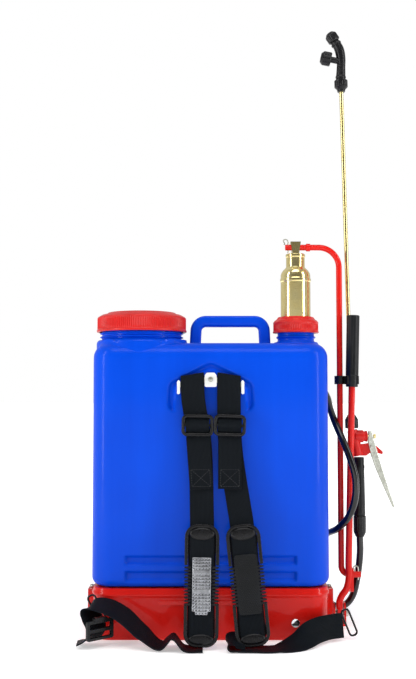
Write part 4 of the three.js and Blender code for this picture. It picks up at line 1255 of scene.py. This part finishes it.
def make_slide_buckle(side, x, tilt):
    """A tri-glide: a rounded frame with a middle bar that the webbing goes over."""
    node = f"slide_buckle_{side}"
    frame_bar = moved(wire_frame(22.4, 14.4, 6, 5.6), ALONG_Y)
    bar = toothed_bar(22, 2.1)
    turn = Matrix.Translation((x, BUCKLE_Y, BUCKLE_Z)) @ Matrix.Rotation(math.radians(tilt), 4, "Y")
    build(f"{node}_frame", moved(joined(frame_bar, bar), turn), node, angle=60)


def make_strap_ring(side, centre, tilt):
    node = f"strap_ring_{side}"
    path = bent([(-21, -6, 0), (21, -6, 0), (21, 6, 0), (-21, 6, 0)], 5, 8, closed=True)
    loop = moved(swept(path, circle(1.6, 16), closed=True), ALONG_Y)
    turn = Matrix.Translation(centre) @ Matrix.Rotation(math.radians(tilt), 4, "Y")
    build(f"{node}_wire", moved(loop, turn), node)


def make_ladder_lock():
    outline = rounded_box(24, 15, 3.4, 5)
    slots = [[(x, z + middle) for x, z in rounded_box(19.6, 4, 1.5, 3)] for middle in (-7, 6)]
    body = moved(plate([outline, *slots], 5.2), ALONG_Y)
    tab = moved(plate([rounded_box(12, 3.2, 2.4, 4)], 7), Matrix.Translation((0, 0, 15.4)) @ ALONG_Y)
    turn = Matrix.Translation((-169, FRONT - 38, 27)) @ Matrix.Rotation(math.radians(41), 4, "Z")
    build("ladder_lock_frame", moved(joined(body, tab), turn), "ladder_lock", edge=0.9)


make_hanger()
make_slide_buckle("left", -20.5, 1)
make_slide_buckle("right", 30, 2)
make_strap_ring("right", (218, FRONT + 9, 26), 68)
make_strap_ring("left", (-178, FRONT - 5, 52), 62)
make_ladder_lock()


# ---- webbing ------------------------------------------------------------------------------


def ribbon_frames(stations, steps):
    """Centre, width direction and face direction at each step along (place, across) stations."""
    centres = spline([place for place, _ in stations], steps)
    last = len(centres) - 1
    frames = []
    for i, centre in enumerate(centres):
        tangent = (centres[min(i + 1, last)] - centres[max(i - 1, 0)]).normalized()
        station, share = divmod(i, steps)
        across = Vector(stations[station][1])
        if share:
            across = across.lerp(Vector(stations[station + 1][1]), share / steps)
        across = (across - tangent * across.dot(tangent)).normalized()
        frames.append((centre, across, tangent.cross(across).normalized()))
    return frames


def ribbon_section(half, thick):
    """Round-edged section of a strap: flat faces with soft selvedges."""
    face = [(-half + 0.6 + (2 * half - 1.2) * k / 12, thick) for k in range(13)]
    return [(-half, 0), *face, (half, 0), *[(a, -thick) for a, _ in reversed(face)]]


def make_webbing(name, stations, *nodes, half=WEB_HALF, steps=8, thick=WEB_THICK, slot="webbing", body="frame"):
    frames = ribbon_frames(stations, steps)
    section = ribbon_section(half, thick)
    rings = [[centre + across * a + up * b for a, b in section] for centre, across, up in frames]
    mesh = make_mesh(name, loft(rings), weld=False)
    run = 0.0
    marks = []
    for i, (centre, _, _) in enumerate(frames):
        run += (centre - frames[i - 1][0]).length if i else 0
        marks += [(a, run) for a, _ in section]
    layer = mesh.uv_layers.new(name="weave")
    for loop in mesh.loops:
        layer.data[loop.index].uv = marks[loop.vertex_index]
    piece = link_piece(name, mesh, nodes, slot, body=body)
    smooth(piece, 50)
    return frames


def stitched(line, up, pitch=3.4):
    """A row of thread stitches along a line, lying on a face whose outward direction is up."""
    shapes = []
    length = line_length(line)
    count = max(2, int(length / pitch))
    profile = [(0, -1.15), (0.32, -0.95), (0.42, 0), (0.32, 0.95), (0, 1.15)]
    for i in range(count):
        target = length * (i + 0.5) / count
        for a, b in zip(line, line[1:]):
            step = (b - a).length
            if target <= step:
                shapes.append(moved(turned(profile, 8), aimed(b - a, a.lerp(b, target / step) + up * 0.1)))
                break
            target -= step
    return shapes


def box_stitch(name, centre, across, down, up, half, height):
    """The sewn box with a cross that holds a doubled strap end."""
    corners = [
        centre + across * (a * half) + down * (b * height) for a, b in ((-1, -1), (1, -1), (1, 1), (-1, 1))
    ]
    shapes = []
    for i, j in ((0, 1), (1, 2), (2, 3), (3, 0), (0, 2), (1, 3)):
        shapes += stitched([corners[i], corners[j]], up)
    piece = build(name, joined(*shapes), slot="webbing", look=THREAD_LOOK, body="frame")
    return piece


STRAP_LOOP = (HANGER_Y - 1.6, HANGER_Y - 9.4)  # webbing behind and in front of the hanger's bar


def upper_strap(side, sign, places):
    lean = (1, 0, -0.17 * sign)
    x = sign * 29
    back, front = STRAP_LOOP
    loop = [
        ((x, back, 392), lean), ((x, back, 409), lean), ((x, back - 2.2, 414.8), lean),
        ((x, front + 2.2, 414.8), lean), ((x, front, 409), lean),
    ]
    stations = loop + [(place, (1, 0, 0)) for place in places]
    make_webbing(f"shoulder_strap_{side}", stations, f"strap_upper_{side}", half=18.6)


def strap_over_bar(side, x, tilt):
    """The stretch of webbing that comes forward through the buckle and over its middle bar."""
    turn = Matrix.Rotation(math.radians(tilt), 4, "Y")
    places = [(0, 3.6, 15), (0, 2.6, 10.5), (0, -0.8, 7), (0, -3.2, 3.4), (0, -3.9, 0), (0, -3.2, -3.4), (0, -0.8, -7),
              (0, 2.6, -10.5), (0, 3.6, -15)]
    stations = [
        (Vector((x, BUCKLE_Y, BUCKLE_Z)) + turn @ Vector(place), turn @ Vector((1, 0, 0))) for place in places
    ]
    make_webbing(f"buckle_webbing_{side}", stations, half=18.6, steps=6)


def strap_end(side, x_high, x_low):
    """The strap's doubled end, hanging in front of the strap below the buckle and sewn to it."""
    high = Vector((x_high, BUCKLE_Y + 4.6, BUCKLE_Z - 18))
    low = Vector((x_low, FRONT - 26.6, 238))
    middle = high.lerp(low, 0.5) + Vector((0, -0.8, 0))
    stations = [(high + Vector((0, 2, 8)), (1, 0, 0)), (high, (1, 0, 0)), (middle, (1, 0, 0)), (low, (1, 0, 0))]
    make_webbing(f"strap_end_{side}", stations, half=18.4, steps=10)
    down = (low - high).normalized()
    face = Vector((0, -1.5, 0))
    box_stitch(
        f"strap_stitch_{side}", low - down * 17 + face, Vector((1, 0, 0)), down, Vector((0, -1, 0)), 14.5, 13,
    )


upper_strap("left", -1, [
    (-27.4, HANGER_Y - 11, 376), (-21, FRONT - 14.3, 336), (-16.5, FRONT - 17, 300), (-13.4, FRONT - 30, 187.5),
    (-13.2, FRONT - 36.5, 170),
])
upper_strap("right", 1, [
    (28.6, HANGER_Y - 11, 376), (31, FRONT - 17, 300), (47.5, FRONT - 30, 187.5), (49.5, FRONT - 36.5, 170),
])
strap_over_bar("left", -20.5, 1)
strap_over_bar("right", 30, 2)
strap_end("left", -20, -14)
strap_end("right", 30.2, 29.6)

Y_WAY = (0, 1, 0)
make_webbing("waist_strap_left", [
    ((-12, FRONT - 52, 1.6), Y_WAY), ((-40, FRONT - 52, 3), Y_WAY), ((-57, FRONT - 50, 19), Y_WAY),
    ((-76, FRONT - 46, 5), (0, 1, 0.1)), ((-104, FRONT - 38, 22), (0, 1, 0.5)), ((-134, FRONT - 28, 46), (0.2, 1, 0.5)),
    ((-160, FRONT - 26, 59), (0.3, 1, 0.4)), ((-180, FRONT - 26, 61), (0.3, 1, 0.3)),
    ((-188, FRONT - 26, 55), (0.5, 1, 0.3)), ((-183, FRONT - 28, 44), (0.8, 0.8, 0.1)),
    ((-176, FRONT - 30, 28), (0.8, 0.7, 0)), ((-184, FRONT - 32, 13), (0.6, 0.8, 0)), ((-204, FRONT - 34, 5), (0.1, 1, 0)),
], "strap_lower_left")
make_webbing("waist_strap_right", [
    ((50, FRONT - 46, 11), (0, 1, 0.5)), ((38, FRONT - 49, 14), (0, 1, 0.45)), ((30, FRONT - 51, 13.6), (0, 1, 0.4)),
    ((26.6, FRONT - 52, 9), (0, 1, 0.25)), ((29, FRONT - 52.5, 4.4), (0, 1, 0.1)), ((38, FRONT - 52.5, 2.4), Y_WAY),
    ((62, FRONT - 52.5, 1.6), Y_WAY), ((100, FRONT - 52, 1.8), Y_WAY), ((134, FRONT - 42, 9), (0, 1, 0.6)),
    ((158, FRONT - 26, 20), (0, 0.6, 1)), ((182, FRONT - 10, 23), (0, 0.15, 1)), ((207, FRONT + 4, 23), (-0.3, 0, 1)),
], "strap_lower_right")


# ---- shoulder pads ------------------------------------------------------------------------

PAD_HALF = 25.5
PAD_BACK = -8
PAD_FACE = 3.2


def pad_outline(length, inset, corner=19):
    """The pad's outline in its own plane, its foot at 0."""
    half, low, high = PAD_HALF - inset, inset, length - inset
    corners = [(-half, low), (half, low), (half, high), (-half, high)]
    return eased(corners, max(corner - inset, 2), 8, closed=True)


def inflate(piece):
    """Swells a closed foam body a little under its cover by a cloth simulation."""
    remesh = piece.modifiers.new("voxels", "REMESH")
    remesh.mode = "VOXEL"
    remesh.voxel_size = 4.5 * MM
    apply_modifiers(piece)
    rest = [v.co.copy() for v in piece.data.vertices]
    cloth = piece.modifiers.new("cover", "CLOTH")
    cloth.settings.use_pressure = True
    cloth.settings.uniform_pressure_force = 4
    cloth.settings.effector_weights.gravity = 0
    scene = bpy.context.scene
    for number in range(1, 13):
        scene.frame_set(number)
    apply_modifiers(piece)
    scene.frame_set(1)
    for vertex, before in zip(piece.data.vertices, rest):
        shift = vertex.co - before
        vertex.co = before + shift.normalized() * min(shift.length, 1.6 * MM)


def apply_modifiers(piece):
    """Keeps the piece's shape as its modifiers leave it."""
    graph = bpy.context.evaluated_depsgraph_get()
    result = bpy.data.meshes.new_from_object(piece.evaluated_get(graph))
    piece.modifiers.clear()
    old = piece.data
    piece.data = result
    bpy.data.meshes.remove(old)


def make_foam(side, place, length):
    rings = []
    for height, inset in ((PAD_BACK, 6), (PAD_BACK + 1.6, 3.4), (PAD_BACK + 5, 2.4), (0, 2.4), (PAD_FACE - 1, 3), (PAD_FACE, 5)):
        rings.append([Vector((a, b, height)) for a, b in pad_outline(length, inset)])
    foam = build(f"pad_foam_{side}", moved(loft(rings), place), f"shoulder_pad_{side}", slot="padding")
    inflate(foam)
    foam.data.shade_smooth()
    rounding = foam.modifiers.new("rounding", "SUBSURF")
    rounding.levels = rounding.render_levels = 1


def make_rails(side, place, length):
    """Moulded rails round the pad's two ends, with a row of teeth along each side between them."""
    low, high = length * 0.335, length * 0.665
    reach, height = PAD_HALF - 1.6, PAD_FACE + 1.4
    shapes = []
    for start, end in ((low, 1.6), (high, length - 1.6)):
        path = [(reach, start, height), (reach, end, height), (-reach, end, height), (-reach, start, height)]
        shapes.append(swept(bent(path, 17, 12), rounded_box(1.9, 2.6, 1.4, 3)))
    pitch = (high - low) / 12
    for k in range(12):
        foot = low + k * pitch
        for sign in (-1, 1):
            inner, outer, tip = sign * (PAD_HALF - 9), sign * (PAD_HALF - 1), sign * (PAD_HALF + 1.8)
            outline = [
                (inner, foot), (outer, foot), (tip, foot + pitch * 0.3), (outer, foot + pitch * 0.62),
                (inner, foot + pitch * 0.62),
            ]
            shapes.append(shifted(plate([outline], 5.6), 0, 0, PAD_FACE + 1))
    build(f"pad_rails_{side}", moved(joined(*shapes), place), slot="black_plastic", body="frame", edge=0.5)


def holed_plate(half, low, high, pitch, hole):
    """A thin plate pierced by round holes in three bands of rows, its lower end curved."""
    columns = int(2 * half / pitch)
    rows = int((high - low) / pitch)
    solid_rows = (rows // 3 + 1, 2 * rows // 3 + 1)
    eighths = [TURN * k / 8 for k in range(8)]
    points, faces = [], []
    for row in range(rows):
        for column in range(columns):
            x = (column - (columns - 1) / 2) * pitch
            y = low + (row + 0.5) * pitch
            if y - low < 6 * (x / half) ** 2:
                continue
            start = len(points)
            for angle in eighths:
                reach = pitch / 2 / max(abs(math.cos(angle)), abs(math.sin(angle)))
                points.append(Vector((x + reach * math.cos(angle), y + reach * math.sin(angle), 0)))
            if row in solid_rows:
                faces.append(tuple(range(start, start + 8)))
                continue
            points += [Vector((x + hole * math.cos(angle), y + hole * math.sin(angle), 0)) for angle in eighths]
            faces += [(start + k, start + (k + 1) % 8, start + 8 + (k + 1) % 8, start + 8 + k) for k in range(8)]
    return points, faces


def crowned(shape, half, rise):
    points, faces = shape
    return [Vector((p.x, p.y, p.z + rise * (1 - (p.x / half) ** 2))) for p in points], faces


def bumps(inside, pitch, radius, height):
    """Small domes in a close pattern over the places for which inside(x, y) holds."""
    shapes = []
    for row in range(-60, 61):
        for column in range(-20, 21):
            x = (column + 0.5 * (row % 2)) * pitch
            y = row * pitch * 0.866
            if inside(x, y):
                dome = turned([(radius, 0), (radius * 0.8, height * 0.6), (0, height)], 8)
                shapes.append(shifted(dome, x, y))
    return joined(*shapes)


def make_pad_ends(side, place, length):
    """Domed end caps with a dotted face, over the webbing's two ends."""
    shapes = []
    for middle, reach in ((length - 13.5, 10), (10.5, 8.5)):
        rings = []
        for height, shrink in ((PAD_FACE - 1, 0), (PAD_FACE + 2.4, 0.2), (PAD_FACE + 4, 1.6), (PAD_FACE + 4.6, 4)):
            rings.append([
                Vector(((19.5 - shrink) * math.cos(TURN * k / 48), middle + (reach - shrink) * math.sin(TURN * k / 48), height))
                for k in range(48)
            ])
        shapes.append(loft(rings))

        def on_cap(x, y):
            return (x / 15.5) ** 2 + (y / (reach - 4)) ** 2 < 1

        shapes.append(shifted(bumps(on_cap, 2.3, 0.75, 0.7), 0, middle, PAD_FACE + 4.5))
    build(f"pad_ends_{side}", moved(joined(*shapes), place), slot="black_plastic", body="frame", angle=50)


def make_pad_strap(side, place, length):
    """The stretch of webbing that shows in the pad's two windows."""
    ends = [place @ Vector((0, y, PAD_FACE + 1.6)) for y in (12, length * 0.3, length * 0.6, length - 14)]
    across = place.to_3x3() @ Vector((1, 0, 0))
    make_webbing(f"pad_webbing_{side}", [(end, across) for end in ends], half=18.4, steps=8)


def make_pad_plate(side, place, length):
    low, high = length * 0.26, length * 0.755
    if side == "left":
        grille = crowned(holed_plate(15.6, low, high, 4.7, 0.95), 15.6, 1.0)
        shape = moved(shifted(grille, 0, 0, PAD_FACE + 3.6), place)
        piece = build("pad_grille_left", shape, slot="black_plastic", look=PLATE_LOOK, body="frame")
        thick = piece.modifiers.new("thickness", "SOLIDIFY")
        thick.thickness = 0.8 * MM
        thick.offset = 0
        return
    outline = rounded_box(17.5, (high - low) / 2, 5, 4)
    pad = shifted(plate([outline], 2.2), 0, (low + high) / 2, PAD_FACE + 3.6)
    dots = shifted(bumps(lambda x, y: abs(x) < 15.5 and abs(y) < (high - low) / 2 - 3, 3.1, 0.9, 0.8),
                   0, (low + high) / 2, PAD_FACE + 4.6)
    build("pad_grip_right", moved(joined(pad, dots), place), slot="rubber", body="frame", edge=0.5, angle=50)


def make_pad(side, top, bottom):
    top, bottom = Vector(top), Vector(bottom)
    along_pad = (top - bottom).normalized()
    across = (Vector((1, 0, 0)) - along_pad * along_pad.x).normalized()
    place = axes(across, along_pad, across.cross(along_pad), bottom)
    length = (top - bottom).length
    make_foam(side, place, length)
    make_rails(side, place, length)
    make_pad_strap(side, place, length)
    make_pad_plate(side, place, length)
    make_pad_ends(side, place, length)


make_pad("left", (-13, FRONT - 32, 184), (-15, FRONT - 49, 4.6))
make_pad("right", (48, FRONT - 32, 184), (65, FRONT - 47, 5))


# ---- finish on the CAD pieces that stay ---------------------------------------------------

SOFT_EDGED = {
    "park_clip": 0.7,
    "rod_yoke": 0.9,
    "end_bracket_left": 1.2,
    "end_bracket_right": 1.2,
    "lever_bracket": 1.0,
    "strainer_basket": 0.4,
}


def dress_cad_pieces():
    for name, piece in frame["nodes"].items():
        if piece.hide_render:
            continue
        piece.data.materials.clear()
        piece.data.materials.append(MATERIALS[SLOT_OF[name]])
        if name in SOFT_EDGED:
            soften(piece, SOFT_EDGED[name])


dress_cad_pieces()


# ---- studio -------------------------------------------------------------------------------


def make_floor():
    half = 30.0
    mesh = bpy.data.meshes.new("studio_floor")
    mesh.from_pydata([(-half, -half, 0), (half, -half, 0), (half, half, 0), (-half, half, 0)], [], [(0, 1, 2, 3)])
    floor = bpy.data.objects.new("studio_floor", mesh)
    floor.location.z = -0.0005
    bpy.context.scene.collection.objects.link(floor)
    finish = Finish("floor_look", Specular_IOR_Level=0.2)
    finish.colour(finish.colours(finish.noise(2, 2), (0.88, 0.88, 0.88), (0.90, 0.90, 0.90)))
    finish.roughness(finish.steps(finish.noise(40, 3), 0.3, 0.7, 0.6, 0.7))
    away = finish.node("ShaderNodeVectorMath", operation="LENGTH")
    finish.link(finish.place(), away.inputs[0])
    finish.shader.inputs["Emission Color"].default_value = (1, 1, 1, 1)
    finish.link(finish.steps(away.outputs["Value"], 0.4, 1.6, 0.40, 1.0), finish.shader.inputs["Emission Strength"])
    mesh.materials.append(finish.material)


def softbox(name, place, target, width, height, power):
    data = bpy.data.lights.new(name, "AREA")
    data.shape = "RECTANGLE"
    data.size = width
    data.size_y = height
    data.energy = power
    light = bpy.data.objects.new(name, data)
    light.location = place
    light.rotation_euler = (Vector(target) - Vector(place)).to_track_quat("-Z", "Y").to_euler()
    bpy.context.scene.collection.objects.link(light)


def make_world():
    """A white surround to look at, and a dimmer one towards the harness side to light with."""
    world = bpy.data.worlds.new("studio")
    world.use_nodes = True
    tree = world.node_tree
    tree.nodes.clear()
    place = tree.nodes.new("ShaderNodeTexCoord")
    parts = tree.nodes.new("ShaderNodeSeparateXYZ")
    shade = tree.nodes.new("ShaderNodeMapRange")
    for key, value in (("From Min", -0.9), ("From Max", 0.4), ("To Min", 0.26), ("To Max", 0.85)):
        shade.inputs[key].default_value = value
    lit = tree.nodes.new("ShaderNodeBackground")
    seen = tree.nodes.new("ShaderNodeBackground")
    seen.inputs["Strength"].default_value = 1.0
    seen.inputs["Color"].default_value = (1, 1, 1, 1)
    path = tree.nodes.new("ShaderNodeLightPath")
    mix = tree.nodes.new("ShaderNodeMixShader")
    out = tree.nodes.new("ShaderNodeOutputWorld")
    for source, target in (
        (place.outputs["Generated"], parts.inputs["Vector"]),
        (parts.outputs["Y"], shade.inputs["Value"]),
        (shade.outputs["Result"], lit.inputs["Strength"]),
        (path.outputs["Is Camera Ray"], mix.inputs["Fac"]),
        (lit.outputs["Background"], mix.inputs[1]),
        (seen.outputs["Background"], mix.inputs[2]),
        (mix.outputs["Shader"], out.inputs["Surface"]),
    ):
        tree.links.new(source, target)
    bpy.context.scene.world = world


make_floor()
make_world()
softbox("left_softbox", (-1.9, -1.0, 1.0), (0, 0, 0.35), 0.4, 2.0, 20)
softbox("right_softbox", (1.9, -1.0, 1.0), (0, 0, 0.35), 0.4, 2.0, 20)
softbox("top_softbox", (0, -1.1, 2.3), (0, 0, 0.3), 1.6, 1.0, 18)
bpy.context.scene.view_settings.view_transform = "Standard"
